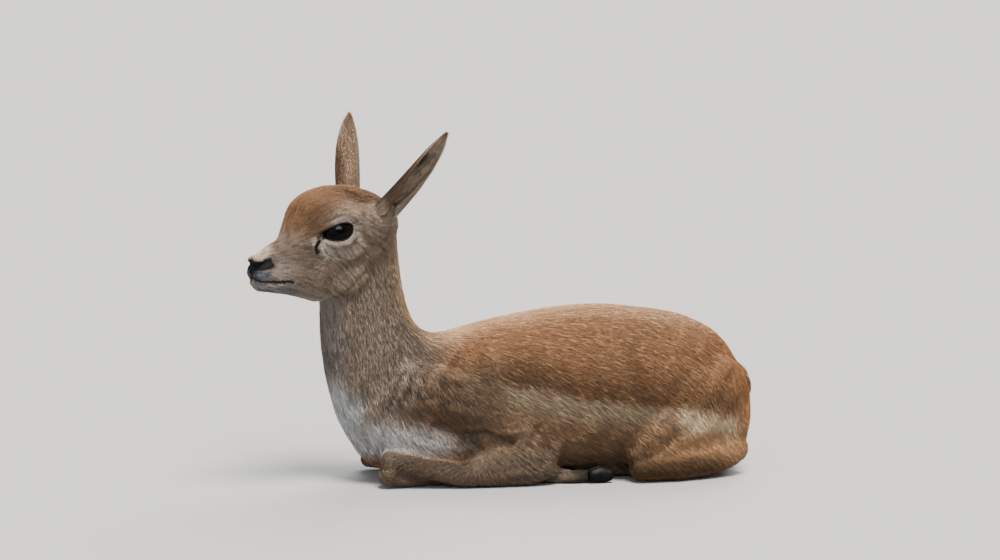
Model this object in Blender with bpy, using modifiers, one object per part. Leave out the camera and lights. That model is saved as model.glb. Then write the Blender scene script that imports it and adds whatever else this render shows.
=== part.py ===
"""Young blackbuck lying at rest with folded legs and raised head, at life size.

The animal faces -X, its left side is -Y and Z is up. The floor is z = 0. The body is modelled whole
from named sections and limbs, fused, and then parted with thin cuts where a person would name its parts.
Sizes in the tables are millimetres. MM turns them into Blender's metres.
"""

import math
from dataclasses import dataclass

import bmesh
import bpy
import numpy as np
from mathutils import Matrix, Vector
from mathutils.bvhtree import BVHTree

MM = 0.001
GAP = 0.3

BODY_VOXEL = 3.2
BODY_SMOOTHING = 6
BODY_TRIANGLES = 3200
HEAD_VOXEL = 1.5
HEAD_SMOOTHING = 26
HEAD_TRIANGLES = 3400

HEAD_TURN = 21.0
HEAD_RAISE = 3.0
NOSE_TIP = (-320.5, -49.1, 229.5)

EYE_RADIUS = 18.5
EYE_PLACE = (89.0, 26.0, 52.0)
EYE_LOOKS = (-0.45, 0.87, 0.12)
LID_DEPTH = 2.2
EYE_OPENING = (18.6, 9.6)
EYE_OPENING_TILT = 13.0
EYE_OPENING_REACH = (5.5, 37.0)
EYE_CORNER_SHARPNESS = 0.35

EAR_LENGTH = 126.0
EAR_ROOT = (139.0, 30.0, 66.0)
EAR_LEAN = (0.300, 0.545, 0.783)
EAR_OPENS = (0.05, 0.90, -0.40)
EAR_WALL = 1.6
EAR_LEAST_HOLLOW = 0.5
EAR_RIM_TURN = 0.6

NECK_TO_HEAD = ((-205, 0, 232), (-0.62, -0.15, 0.77))
NECK_TO_TORSO = ((-170, 0, 120), (-0.8, 0, 0.6))

COAT_TAN = (0.50, 0.27, 0.12)
COAT_GREY = (0.36, 0.27, 0.20)
COAT_BROWN = (0.38, 0.20, 0.09)
HOOF_BLACK = (0.03, 0.028, 0.026)
EYE_BLACK = (0.012, 0.009, 0.008)
COAT_ROUGHNESS = 0.9
FINISHES = {
    "eye": (EYE_BLACK, 0.1),
    "hoof": (HOOF_BLACK, 0.4),
    "head": (COAT_GREY, COAT_ROUGHNESS),
    "neck": (COAT_GREY, COAT_ROUGHNESS),
    "torso": (COAT_TAN, COAT_ROUGHNESS),
}
LEG_FINISH = (COAT_BROWN, COAT_ROUGHNESS)


@dataclass(frozen=True)
class Section:
    """One cross-section between a back point and a belly point, both (x, z) in the plane of symmetry."""

    back: tuple
    belly: tuple
    half_width: float
    taper: float = 0.0
    fullness: float = 2.1
    turn: float = 0.0
    aside: float = 0.0

    def numbers(self):
        """The section as a row of numbers, so that rows can be interpolated."""
        return [
            *self.back,
            *self.belly,
            self.half_width,
            self.taper,
            self.fullness,
            self.turn,
            self.aside,
        ]


@dataclass(frozen=True)
class Joint:
    """One place along a limb: its centre, its half width across and its half height."""

    centre: tuple
    half_width: float
    half_height: float


@dataclass(frozen=True)
class EarSection:
    """One cross-section of an ear: how far along, how wide, how deep its cup is, how far its rims close."""

    along: float
    width: float
    depth: float
    closing: float
    wall: float


@dataclass(frozen=True)
class Swell:
    """A rounded form on the head: its centre and its radii, both in head measures."""

    centre: tuple
    radii: tuple


@dataclass(frozen=True)
class Groove:
    """A line pressed into the head: its course in head measures, its half width and its depth."""

    course: tuple
    half_width: float
    depth: float


# The trunk and neck are one form, from the buttocks to the throat.
TRUNK = {
    "buttocks": Section((234, 97), (235, 42), 37),
    "tail_head": Section((222, 123), (224, 14), 59, 0.10),
    "hips": Section((200, 151.5), (196, 0), 71, 0.16),
    "croup": Section((160, 172), (160, -3), 76, 0.20),
    "loin": Section((112, 181), (118, -3), 77, 0.22),
    "flank": Section((64, 186), (70, -3), 77, 0.20),
    "last_rib": Section((12, 183), (16, -3), 75, 0.20),
    "girth": Section((-40, 175), (-44, -3), 71, 0.22),
    "withers": Section((-84, 165.5), (-112, -2), 64, 0.26),
    "shoulder": Section((-108, 159.5), (-178, 12), 56, 0.22),
    "breast": Section((-124, 163), (-212, 52), 49, 0.14, 2.1, 3),
    "neck_base": Section((-136, 180), (-229, 98), 42, 0.08, 2.1, 7),
    "mid_neck": Section((-143, 210), (-238, 146), 36, 0.05, 2.1, 12),
    "upper_neck": Section((-146, 244), (-240, 188), 34, 0.04, 2.1, 17, 2),
    "throat": Section((-148, 284), (-238, 226), 32, 0.0, 2.1, 21, 5),
}

# The head is measured back from the nose tip and up from the line of the mouth.
HEAD = {
    "nose_front": Section((0, 18), (2, 4), 8, 0.0, 2.4),
    "nose_pad": Section((1.5, 24), (4, -3), 13, 0.10, 2.5),
    "nostrils": Section((7, 28.8), (8, -9), 16.5, 0.14, 2.5),
    "lips": Section((20, 36.5), (21, -14), 19, 0.12, 2.4),
    "muzzle_root": Section((38, 46), (42, -17), 23, 0.06, 2.3),
    "stop": Section((48, 66), (60, -21), 29, -0.10, 2.3),
    "brow": Section((58.5, 86), (76, -25), 34, -0.16, 2.4),
    "orbit": Section((81, 97.5), (92, -27), 35, -0.12, 2.3),
    "crown": Section((106, 100), (108, -27), 35, -0.06, 2.2),
    "temple": Section((128, 97), (126, -23), 34, -0.02, 2.2),
    "poll": Section((152, 89), (144, -14), 31, -0.04, 2.2),
    "nape": Section((174, 72), (163, 0), 27, 0.0, 2.1),
}

SWELLS = {
    "cheek": Swell((110, 19, 8), (38, 15, 30)),
    "cheekbone": Swell((97, 21, 38), (38, 20, 24)),
    "brow_ridge": Swell((84, 22, 68), (24, 15, 15)),
    "nostril_wing": Swell((9, 9, 18), (9, 8, 9)),
    "upper_lip": Swell((19, 11, 6), (18, 9, 8)),
}
CHIN = Swell((16, 0, -6), (13, 11, 8))

EAR = (
    EarSection(0.0, 21, 23, 0.2, 9.0),
    EarSection(0.12, 25, 26, 0.9, 8.5),
    EarSection(0.21, 27, 25, 0.95, 4.5),
    EarSection(0.30, 28, 23, 0.9, 2.4),
    EarSection(0.42, 29, 20, 0.75, 1.8),
    EarSection(0.55, 29, 15.5, 0.5, EAR_WALL),
    EarSection(0.68, 27, 11, 0.35, EAR_WALL),
    EarSection(0.80, 22, 8.5, 0.25, EAR_WALL),
    EarSection(0.90, 15, 6, 0.2, EAR_WALL),
    EarSection(0.97, 8, 4, 0.1, 1.2),
    EarSection(1.0, 4, 2.5, 0.0, 0.8),
)

MOUTH = Groove(
    ((-1, 0, 0), (3, 8, 0), (9, 14, 0), (20, 19, -1), (32, 21, -1.5), (42, 23, -2)), 1.7, 2.8
)
NOSTRIL = Groove(((1, 5, 15), (5, 11, 16.5), (9, 15, 19.5), (13, 17, 24)), 2.4, 4.2)
TEAR_SLIT = Groove(((65, 30, 44), (63, 29, 37), (65, 29, 31)), 1.7, 2.6)

UPPER_ARM = (
    Joint((-150, 40, 104), 24, 34),
    Joint((-112, 50, 98), 26, 31),
    Joint((-72, 57, 86), 25, 29),
    Joint((-38, 63, 62), 20, 24),
    Joint((-15, 66, 42), 16, 18),
)
FOREARM = (
    Joint((1, 68, 25), 14, 20),
    Joint((-22, 68, 26), 17, 28),
    Joint((-52, 67, 22), 17, 24),
    Joint((-92, 66, 13), 14, 14),
    Joint((-128, 61, 21), 13, 13),
    Joint((-156, 56, 28), 13, 14),
    Joint((-171, 53, 26), 13, 15),
)
FORE_CANNON = (
    Joint((-171, 53, 18), 14, 17),
    Joint((-156, 52, 11), 12, 11.5),
    Joint((-122, 48, 9), 9.5, 9.5),
    Joint((-60, 46, 8), 8, 8.5),
    Joint((-10, 52, 8), 9, 9),
    Joint((8, 60, 8.5), 10, 9.5),
    Joint((26, 66, 7), 8.5, 7.5),
    Joint((46, 67, 7), 8.5, 7.5),
)
THIGH = (
    Joint((196, 36, 104), 32, 38),
    Joint((178, 50, 84), 34, 46),
    Joint((146, 63, 58), 30, 40),
    Joint((114, 72, 36), 22, 28),
    Joint((99, 76, 24), 15, 18),
)
SHANK = (
    Joint((100, 75, 19), 17, 19),
    Joint((140, 73, 22), 19, 24),
    Joint((175, 66, 25), 18, 25),
    Joint((203, 57, 28), 16, 21),
    Joint((216, 51, 29), 12, 16),
)
HIND_CANNON = (
    Joint((203, 46, 21), 12, 13),
    Joint((188, 44, 11), 10, 11),
    Joint((150, 41, 9), 9, 9.5),
    Joint((90, 38, 8.5), 9, 9),
    Joint((64, 37, 9), 11, 9.5),
    Joint((46, 37, 7.5), 8.5, 8),
    Joint((30, 37, 7.5), 8.5, 8),
)
TAIL = (
    Joint((203, 0, 128), 9, 8),
    Joint((217, 0, 115), 10, 8),
    Joint((231, 0, 101), 9, 7),
    Joint((237, 0, 88), 8, 6),
    Joint((238, 0, 78), 4, 3.5),
)
HOOF_SPREAD = 5.2
FORE_HOOF = (
    Joint((47.5, 67, 8), 5.8, 7.5),
    Joint((58, 67, 9), 5.8, 9.5),
    Joint((68, 67, 8), 4.6, 7),
)
HIND_HOOF = (
    Joint((27.5, 37, 7.5), 5.8, 7.5),
    Joint((16, 37, 8), 5.8, 8.5),
    Joint((5, 37, 6), 4.2, 5),
)
SIDES = {"left": -1, "right": 1}
LOWER_LEGS = (
    {"forearm": FOREARM, "fore_cannon": FORE_CANNON, "fore_hoof": FORE_HOOF},
    {"shank": SHANK, "hind_cannon": HIND_CANNON, "hind_hoof": HIND_HOOF},
)
HEAD_NECK = ("breast", "neck_base", "mid_neck", "upper_neck", "throat")
UPPER_LEG_MARGIN = 4.0
END_ANGLES = (28, 55)
END_REACH = 0.85
EAR_SIDES = 8
EAR_BOW = 4.5
EAR_KNOB = (19.0, 16.0, 12.8)
EAR_KNOB_OUT = (-12.0, 0.0, 12.0)
OPENING_SIDES = 20
HALF_SPACE_SIZE = 900.0


def clear_scene():
    """Removes every object that the scene starts with."""
    for obj in list(bpy.data.objects):
        bpy.data.objects.remove(obj)


def coloured(name, colour, roughness):
    """A Principled material of one colour."""
    material = bpy.data.materials.new(name)
    material.use_nodes = True
    shader = material.node_tree.nodes["Principled BSDF"]
    shader.inputs["Base Color"].default_value = (*colour, 1.0)
    shader.inputs["Roughness"].default_value = roughness
    shader.inputs["Metallic"].default_value = 0.0
    return material


def object_of(name, bm, helper=True):
    """An object made from a bmesh whose points are in millimetres. A helper isn't rendered."""
    bmesh.ops.recalc_face_normals(bm, faces=bm.faces)
    bmesh.ops.scale(bm, vec=(MM, MM, MM), verts=bm.verts)
    mesh = bpy.data.meshes.new(name)
    bm.to_mesh(mesh)
    bm.free()
    obj = bpy.data.objects.new(name, mesh)
    bpy.context.scene.collection.objects.link(obj)
    obj.hide_render = helper
    return obj


def smooth_rows(rows, steps):
    """Catmull-Rom rows between the given rows, with the given rows among them."""
    rows = np.array(rows, float)
    padded = np.vstack([2 * rows[0] - rows[1], rows, 2 * rows[-1] - rows[-2]])
    made = []
    for i in range(1, len(padded) - 2):
        before, start, end, after = padded[i - 1 : i + 3]
        for step in range(steps):
            t = step / steps
            made.append(
                0.5
                * (
                    2 * start
                    + (end - before) * t
                    + (2 * before - 5 * start + 4 * end - after) * t**2
                    + (3 * start - before - 3 * end + after) * t**3
                )
            )
    return [*made, rows[-1]]


def lofted(name, rings):
    """A closed solid through rings of equally many points, with both ends capped.

    All are split into triangles alike, so that a larger copy never crosses a smaller one.
    """
    bm = bmesh.new()
    loops = [[bm.verts.new(point) for point in ring] for ring in rings]
    sides = len(loops[0])
    for ring, following in zip(loops, loops[1:]):
        for i in range(sides):
            j = (i + 1) % sides
            bm.faces.new((ring[i], ring[j], following[j]))
            bm.faces.new((ring[i], following[j], following[i]))
    bm.faces.new(loops[0])
    bm.faces.new(loops[-1])
    return object_of(name, bm)


def section_ring(row, frame, sides):
    """Points round one interpolated section, carried into the body by frame."""
    back, belly = Vector((row[0], 0, row[1])), Vector((row[2], 0, row[3]))
    half_width, taper, fullness, turn, aside = row[4:]
    centre, rise = (back + belly) / 2, (back - belly) / 2
    turned = Matrix.Rotation(math.radians(turn), 3, "Z")
    power = 2 / fullness
    ring = []
    for i in range(sides):
        angle = math.tau * i / sides
        across = math.copysign(abs(math.cos(angle)) ** power, math.cos(angle))
        up = math.copysign(abs(math.sin(angle)) ** power, math.sin(angle))
        offset = rise * up + Vector((0, half_width * across * (1 - taper * up), 0))
        ring.append(frame @ (centre + turned @ offset + Vector((0, aside, 0))))
    return ring


def sectioned(name, sections, frame=Matrix.Identity(4), sides=28, steps=4):
    """A body form lofted through named sections."""
    rows = smooth_rows([section.numbers() for section in sections], steps)
    return lofted(name, [section_ring(row, frame, sides) for row in rows])


def limb(name, joints, side, grow=0.0, sides=10, steps=1):
    """A rounded limb through joints, on one side of the body, made larger all round by grow."""
    rows = smooth_rows(
        [[*joint.centre, joint.half_width, joint.half_height] for joint in joints], steps
    )
    centres = [Vector((row[0], side * row[1], row[2])) for row in rows]
    sizes = [(row[3] + grow, row[4] + grow) for row in rows]
    rings = []
    for i, (centre, size) in enumerate(zip(centres, sizes)):
        along = centres[min(i + 1, len(rows) - 1)] - centres[max(i - 1, 0)]
        rings.append(limb_ring(centre, along, size, sides))
    start = rounded_end(centres[0], centres[0] - centres[1], sizes[0], grow, sides)
    end = rounded_end(centres[-1], centres[-1] - centres[-2], sizes[-1], grow, sides)
    return lofted(name, [*[ring[::-1] for ring in reversed(start)], *rings, *end])


def limb_ring(centre, along, size, sides):
    """Points round a limb, square to the way that it runs."""
    along = along.normalized()
    across = (Vector((0, 1, 0)) - along * along.y).normalized()
    upward = across.cross(along)
    wide, high = size
    angles = [math.tau * (i + 0.5) / sides for i in range(sides)]
    return [
        centre + across * wide * math.cos(angle) + upward * high * math.sin(angle)
        for angle in angles
    ]


def rounded_end(centre, outward, size, grow, sides):
    """Two narrowing rings that round the end of a limb off, and stand out further by grow."""
    outward = outward.normalized()
    wide, high = size
    rings = []
    for angle in END_ANGLES:
        narrow = math.cos(math.radians(angle))
        reach = (min(size) - grow) * END_REACH * math.sin(math.radians(angle)) + grow
        rings.append(
            limb_ring(centre + outward * reach, outward, (wide * narrow, high * narrow), sides)
        )
    return rings


def ball(name, centre, radii, rotation=Matrix.Identity(3), subdivisions=3):
    """An ellipsoid."""
    bm = bmesh.new()
    bmesh.ops.create_icosphere(bm, subdivisions=subdivisions, radius=1)
    shape = rotation @ Matrix.Diagonal(radii)
    bmesh.ops.transform(
        bm, matrix=Matrix.Translation(centre) @ shape.to_4x4(), verts=bm.verts
    )
    return object_of(name, bm)


def frozen(obj):
    """The object with its modifiers applied."""
    graph = bpy.context.evaluated_depsgraph_get()
    graph.update()
    mesh = bpy.data.meshes.new_from_object(obj.evaluated_get(graph))
    obj.modifiers.clear()
    obj.data = mesh
    return obj


def copy_of(obj, name):
    """A helper copy of an object, with a mesh of its own."""
    copy = obj.copy()
    copy.data = obj.data.copy()
    copy.name = name
    bpy.context.scene.collection.objects.link(copy)
    return copy


def drop(*objects):
    """Removes helpers that have done their work."""
    for obj in objects:
        bpy.data.objects.remove(obj)


def fused(name, forms, voxel, smoothing):
    """One closed skin over overlapping forms, smoothed over their joins."""
    bm = bmesh.new()
    for form in forms:
        bm.from_mesh(form.data)
    drop(*forms)
    bmesh.ops.scale(bm, vec=(1 / MM, 1 / MM, 1 / MM), verts=bm.verts)
    obj = object_of(name, bm)
    remesh = obj.modifiers.new("fuse", "REMESH")
    remesh.mode = "VOXEL"
    remesh.voxel_size = voxel * MM
    smooth = obj.modifiers.new("blend", "SMOOTH")
    smooth.factor = 0.5
    smooth.iterations = smoothing
    return frozen(obj)


def thinned(obj, triangles):
    """The object with about as many triangles as given, fewest where it is flattest."""
    faces = sum(len(face.vertices) - 2 for face in obj.data.polygons)
    thin = obj.modifiers.new("thin", "DECIMATE")
    thin.ratio = min(1.0, triangles / faces)
    thin.use_collapse_triangulate = True
    return frozen(obj)


def cut(obj, *cutters, operation="DIFFERENCE"):
    """Cuts, or keeps with INTERSECT or joins with UNION, then keeps the largest closed surface."""
    for cutter in cutters:
        boolean = obj.modifiers.new(operation.lower(), "BOOLEAN")
        boolean.operation = operation
        boolean.object = cutter
        boolean.solver = "EXACT"
        frozen(obj)
    return largest(obj)


def largest(obj):
    """Keeps the largest closed surface of an object."""
    bm = bmesh.new()
    bm.from_mesh(obj.data)
    bm.verts.ensure_lookup_table()
    seen, shells = set(), []
    for start in bm.verts:
        if start.index in seen:
            continue
        shell, waiting = [], [start]
        seen.add(start.index)
        while waiting:
            vert = waiting.pop()
            shell.append(vert)
            for edge in vert.link_edges:
                other = edge.other_vert(vert)
                if other.index not in seen:
                    seen.add(other.index)
                    waiting.append(other)
        shells.append(shell)
    shells.sort(key=extent, reverse=True)
    loose = [vert for shell in shells[1:] for vert in shell]
    bmesh.ops.delete(bm, geom=loose, context="VERTS")
    bm.to_mesh(obj.data)
    bm.free()
    return obj


def extent(shell):
    """The volume of the box round a shell's points."""
    points = np.array([vert.co for vert in shell])
    return float(np.prod(np.ptp(points, axis=0)))


def grown(obj, distance, name):
    """A helper copy whose surface stands out by distance."""
    copy = copy_of(obj, name)
    displace = copy.modifiers.new("grow", "DISPLACE")
    displace.mid_level = 0.0
    displace.strength = distance * MM
    return frozen(copy)


def half_space(name, point, normal, offset=0.0):
    """A large box on the side of a plane that its normal points to, moved along it by offset."""
    bm = bmesh.new()
    bmesh.ops.create_cube(bm, size=HALF_SPACE_SIZE)
    normal = Vector(normal).normalized()
    turn = normal.to_track_quat("Z", "Y").to_matrix().to_4x4()
    place = Matrix.Translation(Vector(point) + normal * (HALF_SPACE_SIZE / 2 + offset))
    bmesh.ops.transform(bm, matrix=place @ turn, verts=bm.verts)
    return object_of(name, bm)


def split(obj, plane, name):
    """Parts an object with a thin cut: the far side of the plane becomes a new object."""
    beyond = half_space("beyond", *plane)
    removed = half_space("removed", *plane, offset=-GAP)
    piece = cut(copy_of(obj, name), beyond, operation="INTERSECT")
    cut(obj, removed)
    drop(beyond, removed)
    return piece


def head_frame():
    """Carries head measures (back from the nose, aside, up) into the body. Left is positive aside."""
    turn = Matrix.Rotation(math.radians(HEAD_TURN), 4, "Z")
    raised = Matrix.Rotation(math.radians(HEAD_RAISE), 4, "Y")
    to_left = Matrix.Diagonal((1, -1, 1, 1))
    return Matrix.Translation(NOSE_TIP) @ turn @ raised @ to_left


def place_of(measures, side):
    """A point of the head on one side, in the body's frame."""
    back, aside, up = measures
    return head_frame() @ Vector((back, -side * aside, up))


def way_of(measures, side):
    """A direction of the head on one side, in the body's frame."""
    back, aside, up = measures
    return (head_frame().to_3x3() @ Vector((back, -side * aside, up))).normalized()


def head_forms():
    """The skull's section form, with lids, cheeks, brows, nostril wings, lips, chin and ear roots."""
    frame = head_frame()
    turn = frame.to_3x3()
    forms = [sectioned("skull", HEAD.values(), frame, steps=5)]
    lids = EYE_RADIUS + LID_DEPTH
    for side in SIDES.values():
        forms.append(ball("lids", place_of(EYE_PLACE, side), [lids] * 3))
        for name, swell in SWELLS.items():
            forms.append(ball(name, place_of(swell.centre, side), swell.radii, turn))
        for radius, out in zip(EAR_KNOB, EAR_KNOB_OUT):
            root = Vector(EAR_ROOT) + Vector(EAR_LEAN) * out
            forms.append(ball("ear_knob", place_of(root, side), [radius] * 3))
    forms.append(ball("chin", place_of(CHIN.centre, 1), CHIN.radii, turn))
    return forms


def draped(course, side, tree):
    """A course laid on the surface, with a point about each millimetre."""
    corners = [place_of(point, side) * MM for point in course]
    line = []
    for start, end in zip(corners, corners[1:]):
        count = max(2, round((end - start).length / MM))
        line += [tree.find_nearest(start.lerp(end, i / count))[0] for i in range(count)]
    return np.array([*line, corners[-1]])


def pressed(obj, grooves):
    """Presses grooves into an object, on both sides of the head."""
    mesh = obj.data
    tree = BVHTree.FromPolygons(
        [vert.co for vert in mesh.vertices], [face.vertices for face in mesh.polygons]
    )
    points = np.array([vert.co for vert in mesh.vertices])
    normals = np.array([vert.normal for vert in mesh.vertices])
    depths = np.zeros(len(points))
    for groove in grooves:
        for side in SIDES.values():
            line = draped(groove.course, side, tree)
            near = np.full(len(points), np.inf)
            for place in line:
                near = np.minimum(near, np.linalg.norm(points - place, axis=1))
            fall = np.exp(-((near / (groove.half_width * MM)) ** 2))
            depths = np.maximum(depths, groove.depth * MM * fall)
    moved = points - normals * depths[:, None]
    mesh.vertices.foreach_set("co", moved.ravel())
    mesh.update()
    return obj


def eye_opening(side):
    """A prism of the almond shape between the lids, reaching out from the middle of the eye."""
    out = way_of(EYE_LOOKS, side)
    level = way_of((1, 0, 0), side)
    level = (level - out * level.dot(out)).normalized()
    upright = level.cross(out) if level.cross(out).z > 0 else out.cross(level)
    tilt = math.radians(EYE_OPENING_TILT)
    along = level * math.cos(tilt) + upright * math.sin(tilt)
    rise = upright * math.cos(tilt) - level * math.sin(tilt)
    half_length, half_height = EYE_OPENING
    centre = place_of(EYE_PLACE, side)
    rings = []
    for reach in EYE_OPENING_REACH:
        ring = []
        for i in range(OPENING_SIDES):
            angle = math.tau * i / OPENING_SIDES
            x, y = math.cos(angle), math.sin(angle)
            almond = y * (1 - EYE_CORNER_SHARPNESS * abs(x) ** 3)
            ring.append(
                centre + out * reach + along * half_length * x + rise * half_height * almond
            )
        rings.append(ring)
    return lofted("eye_opening", rings)


def ear(name, side):
    """A leaf-shaped cup that opens forward and outward, solid where it enters the head."""
    lean = way_of(EAR_LEAN, side)
    opens = way_of(EAR_OPENS, side)
    opens = (opens - lean * opens.dot(lean)).normalized()
    across = lean.cross(opens)
    root = place_of(EAR_ROOT, side)
    rings = []
    for row in EAR:
        centre = root + lean * EAR_LENGTH * row.along
        centre += opens * EAR_BOW * math.sin(math.pi * row.along)
        reach = math.pi / 2 * (1 + row.closing * EAR_RIM_TURN)
        angles = [reach * (2 * i / (EAR_SIDES - 1) - 1) for i in range(EAR_SIDES)]
        outer = [cup_point(angle, row.width / 2, row.depth / 2) for angle in angles]
        inner = [
            cup_point(
                angle,
                max(row.width / 2 - row.wall, EAR_LEAST_HOLLOW),
                max(row.depth / 2 - row.wall, EAR_LEAST_HOLLOW),
            )
            for angle in angles
        ]
        rings.append(
            [centre + across * x + opens * y for x, y in [*outer, *reversed(inner)]]
        )
    return lofted(name, rings)


def cup_point(angle, half_width, half_depth):
    """A point of an ear's cross-section, whose back is at angle 0: (across, towards the opening)."""
    return half_width * math.sin(angle), -half_depth * math.cos(angle)


def hoof(name, joints, side):
    """Two claws side by side, joined where they meet."""
    claws = []
    for away in (-HOOF_SPREAD, HOOF_SPREAD):
        moved = [
            Joint((x, y + away, z), joint.half_width, joint.half_height)
            for joint in joints
            for x, y, z in [joint.centre]
        ]
        claws.append(limb(name, moved, side, sides=8))
    cut(claws[0], claws[1], operation="UNION")
    drop(claws[1])
    return claws[0]


def upper_legs(side, grow=0.0, steps=1):
    """The upper arm and the thigh, which are one with the trunk."""
    return {
        "upper_arm": limb("upper_arm", UPPER_ARM, side, grow, steps=steps),
        "thigh": limb("thigh", THIGH, side, grow, steps=steps),
    }


def body_nodes():
    """The torso and neck, with the upper legs parted from the torso."""
    trunk = sectioned("trunk", TRUNK.values())
    forms = [trunk, *head_forms()]
    for side in SIDES.values():
        forms += upper_legs(side, steps=4).values()
    torso = thinned(fused("torso", forms, BODY_VOXEL, BODY_SMOOTHING), BODY_TRIANGLES)
    drop(split(torso, NECK_TO_HEAD, "above"))
    neck = split(torso, NECK_TO_TORSO, "neck")
    nodes = {"torso": torso, "neck": neck}
    for label, side in SIDES.items():
        inner = upper_legs(side, UPPER_LEG_MARGIN)
        outer = upper_legs(side, UPPER_LEG_MARGIN + GAP)
        for part in inner:
            name = f"{label}_{part}"
            nodes[name] = cut(copy_of(torso, name), inner[part], operation="INTERSECT")
            cut(torso, outer[part])
        drop(*inner.values(), *outer.values())
    return nodes


def head_nodes():
    """The head with its eyes and ears."""
    neck = [section for name, section in TRUNK.items() if name in HEAD_NECK]
    forms = [sectioned("neck_top", neck), *head_forms()]
    head = fused("whole_head", forms, HEAD_VOXEL, HEAD_SMOOTHING)
    pressed(head, (MOUTH, NOSTRIL, TEAR_SLIT))
    thinned(head, HEAD_TRIANGLES)
    nodes = {"head": split(head, NECK_TO_HEAD, "head")}
    drop(head)
    head_room = grown(nodes["head"], GAP, "head_room")
    for label, side in SIDES.items():
        centre = place_of(EYE_PLACE, side)
        nodes[f"{label}_eye"] = ball(f"{label}_eye", centre, [EYE_RADIUS] * 3)
        socket = ball("socket", centre, [EYE_RADIUS + GAP] * 3)
        opening = eye_opening(side)
        cut(nodes["head"], opening, socket)
        drop(socket, opening)
        nodes[f"{label}_ear"] = cut(ear(f"{label}_ear", side), head_room)
    drop(head_room)
    return nodes


def lower_leg_nodes(torso_nodes):
    """The folded lower legs, each let into what lies over it."""
    nodes = {}
    for label, side in SIDES.items():
        for leg in LOWER_LEGS:
            above = []
            for part, joints in leg.items():
                name = f"{label}_{part}"
                if part.endswith("hoof"):
                    nodes[name] = hoof(name, joints, side)
                    room = grown(nodes[name], GAP, "room")
                else:
                    nodes[name] = limb(name, joints, side)
                    room = limb("room", joints, side, GAP)
                for other in [*above, *touching(torso_nodes, label)]:
                    cut(other, room)
                above.append(nodes[name])
                drop(room)
    return nodes


def touching(torso_nodes, label):
    """The trunk's nodes that a lower leg on one side can lie against."""
    return [torso_nodes[name] for name in ("torso", f"{label}_upper_arm", f"{label}_thigh")]


def main():
    """Builds every node, lays the body on the floor and gives each node its colour."""
    clear_scene()
    nodes = body_nodes()
    nodes |= lower_leg_nodes(nodes)
    nodes["tail"] = limb("tail", TAIL, 1)
    room = limb("room", TAIL, 1, GAP)
    cut(nodes["torso"], room)
    drop(room)
    below = half_space("below_floor", (0, 0, 0), (0, 0, -1))
    for node in nodes.values():
        cut(node, below)
    drop(below)
    nodes |= head_nodes()
    parts = bpy.data.collections.new("blackbuck_fawn")
    bpy.context.scene.collection.children.link(parts)
    for name, node in nodes.items():
        node.name = name
        node.hide_render = False
        for collection in list(node.users_collection):
            collection.objects.unlink(node)
        parts.objects.link(node)
        colour, roughness = FINISHES.get(name.split("_")[-1], LEG_FINISH)
        node.data.materials.clear()
        node.data.materials.append(coloured(f"{name}_finish", colour, roughness))


main()
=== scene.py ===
"""Looks of a young blackbuck that lies at rest with folded legs and raised head, at life size.

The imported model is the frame: the animal faces -X, its left side is -Y and Z is up. One skin stands for
the nodes of flesh, and tufts of short hair lie over it. Sizes and tables are in millimetres, and MM turns
them into metres. A table's places are given for the left side, with the measure to the side above 0, and
hold for both.
"""

import logging
import math
from dataclasses import astuple, dataclass
from enum import Enum
from functools import cached_property

import bmesh
import bpy
import numpy as np
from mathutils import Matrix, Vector
from mathutils.bvhtree import BVHTree

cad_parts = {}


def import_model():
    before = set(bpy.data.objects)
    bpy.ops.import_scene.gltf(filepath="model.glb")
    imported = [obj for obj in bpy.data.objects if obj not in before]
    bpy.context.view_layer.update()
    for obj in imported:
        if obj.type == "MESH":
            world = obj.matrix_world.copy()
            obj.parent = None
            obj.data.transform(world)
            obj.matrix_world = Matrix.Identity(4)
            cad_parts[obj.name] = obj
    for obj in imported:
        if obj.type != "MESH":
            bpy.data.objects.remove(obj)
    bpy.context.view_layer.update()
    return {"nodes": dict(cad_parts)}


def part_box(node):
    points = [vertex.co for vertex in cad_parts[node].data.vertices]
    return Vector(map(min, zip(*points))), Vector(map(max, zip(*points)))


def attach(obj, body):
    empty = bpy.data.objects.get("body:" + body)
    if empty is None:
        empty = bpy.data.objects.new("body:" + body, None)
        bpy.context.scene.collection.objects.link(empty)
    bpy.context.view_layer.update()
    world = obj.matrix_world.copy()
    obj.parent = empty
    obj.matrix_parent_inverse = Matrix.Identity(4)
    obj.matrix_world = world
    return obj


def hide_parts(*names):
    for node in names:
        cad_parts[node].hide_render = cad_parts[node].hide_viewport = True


Array = np.ndarray
Socket = bpy.types.NodeSocket
Material = bpy.types.Material
Mesh = bpy.types.Mesh
Object = bpy.types.Object

LOG = logging.getLogger("blackbuck_fawn")

MM = 0.001
ROOT = "root"
COLOUR = "coat"
BARE = "bare"
BAKE_MAP = "OFBake"
SEED = 41
OTHER_PLACE = 50
BARE_FROM = 0.5

TRUNK = ("torso", "neck", "left_upper_arm", "right_upper_arm", "left_thigh", "right_thigh")
LOWER_LEGS = tuple(
    f"{side}_{part}"
    for side in ("left", "right")
    for part in ("forearm", "fore_cannon", "shank", "hind_cannon")
)
LEG_TOPS = tuple(name for name in LOWER_LEGS if "forearm" in name or "shank" in name)
FLESH = (*TRUNK, "head", "tail", *LOWER_LEGS)
EYES = ("left_eye", "right_eye")
EARS = ("left_ear", "right_ear")
HOOVES = ("left_fore_hoof", "right_fore_hoof", "left_hind_hoof", "right_hind_hoof")

SEAM_OVERLAP = 0.35
SKIN_VOXEL = 0.95
SKIN_TRIANGLES = 165000
MERGE = 0.002
FLOOR_GAP = 0.3
HUMP_GONE = 3
LINE_MARGIN = 8.0
COAT_TRIANGLES = 1400000
PIECE_TRIANGLES = 190000
COAT_DEPTH = {"trunk": 2.4, "head": 0.9, "tail": 1.6, "legs": 0.9}


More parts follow.
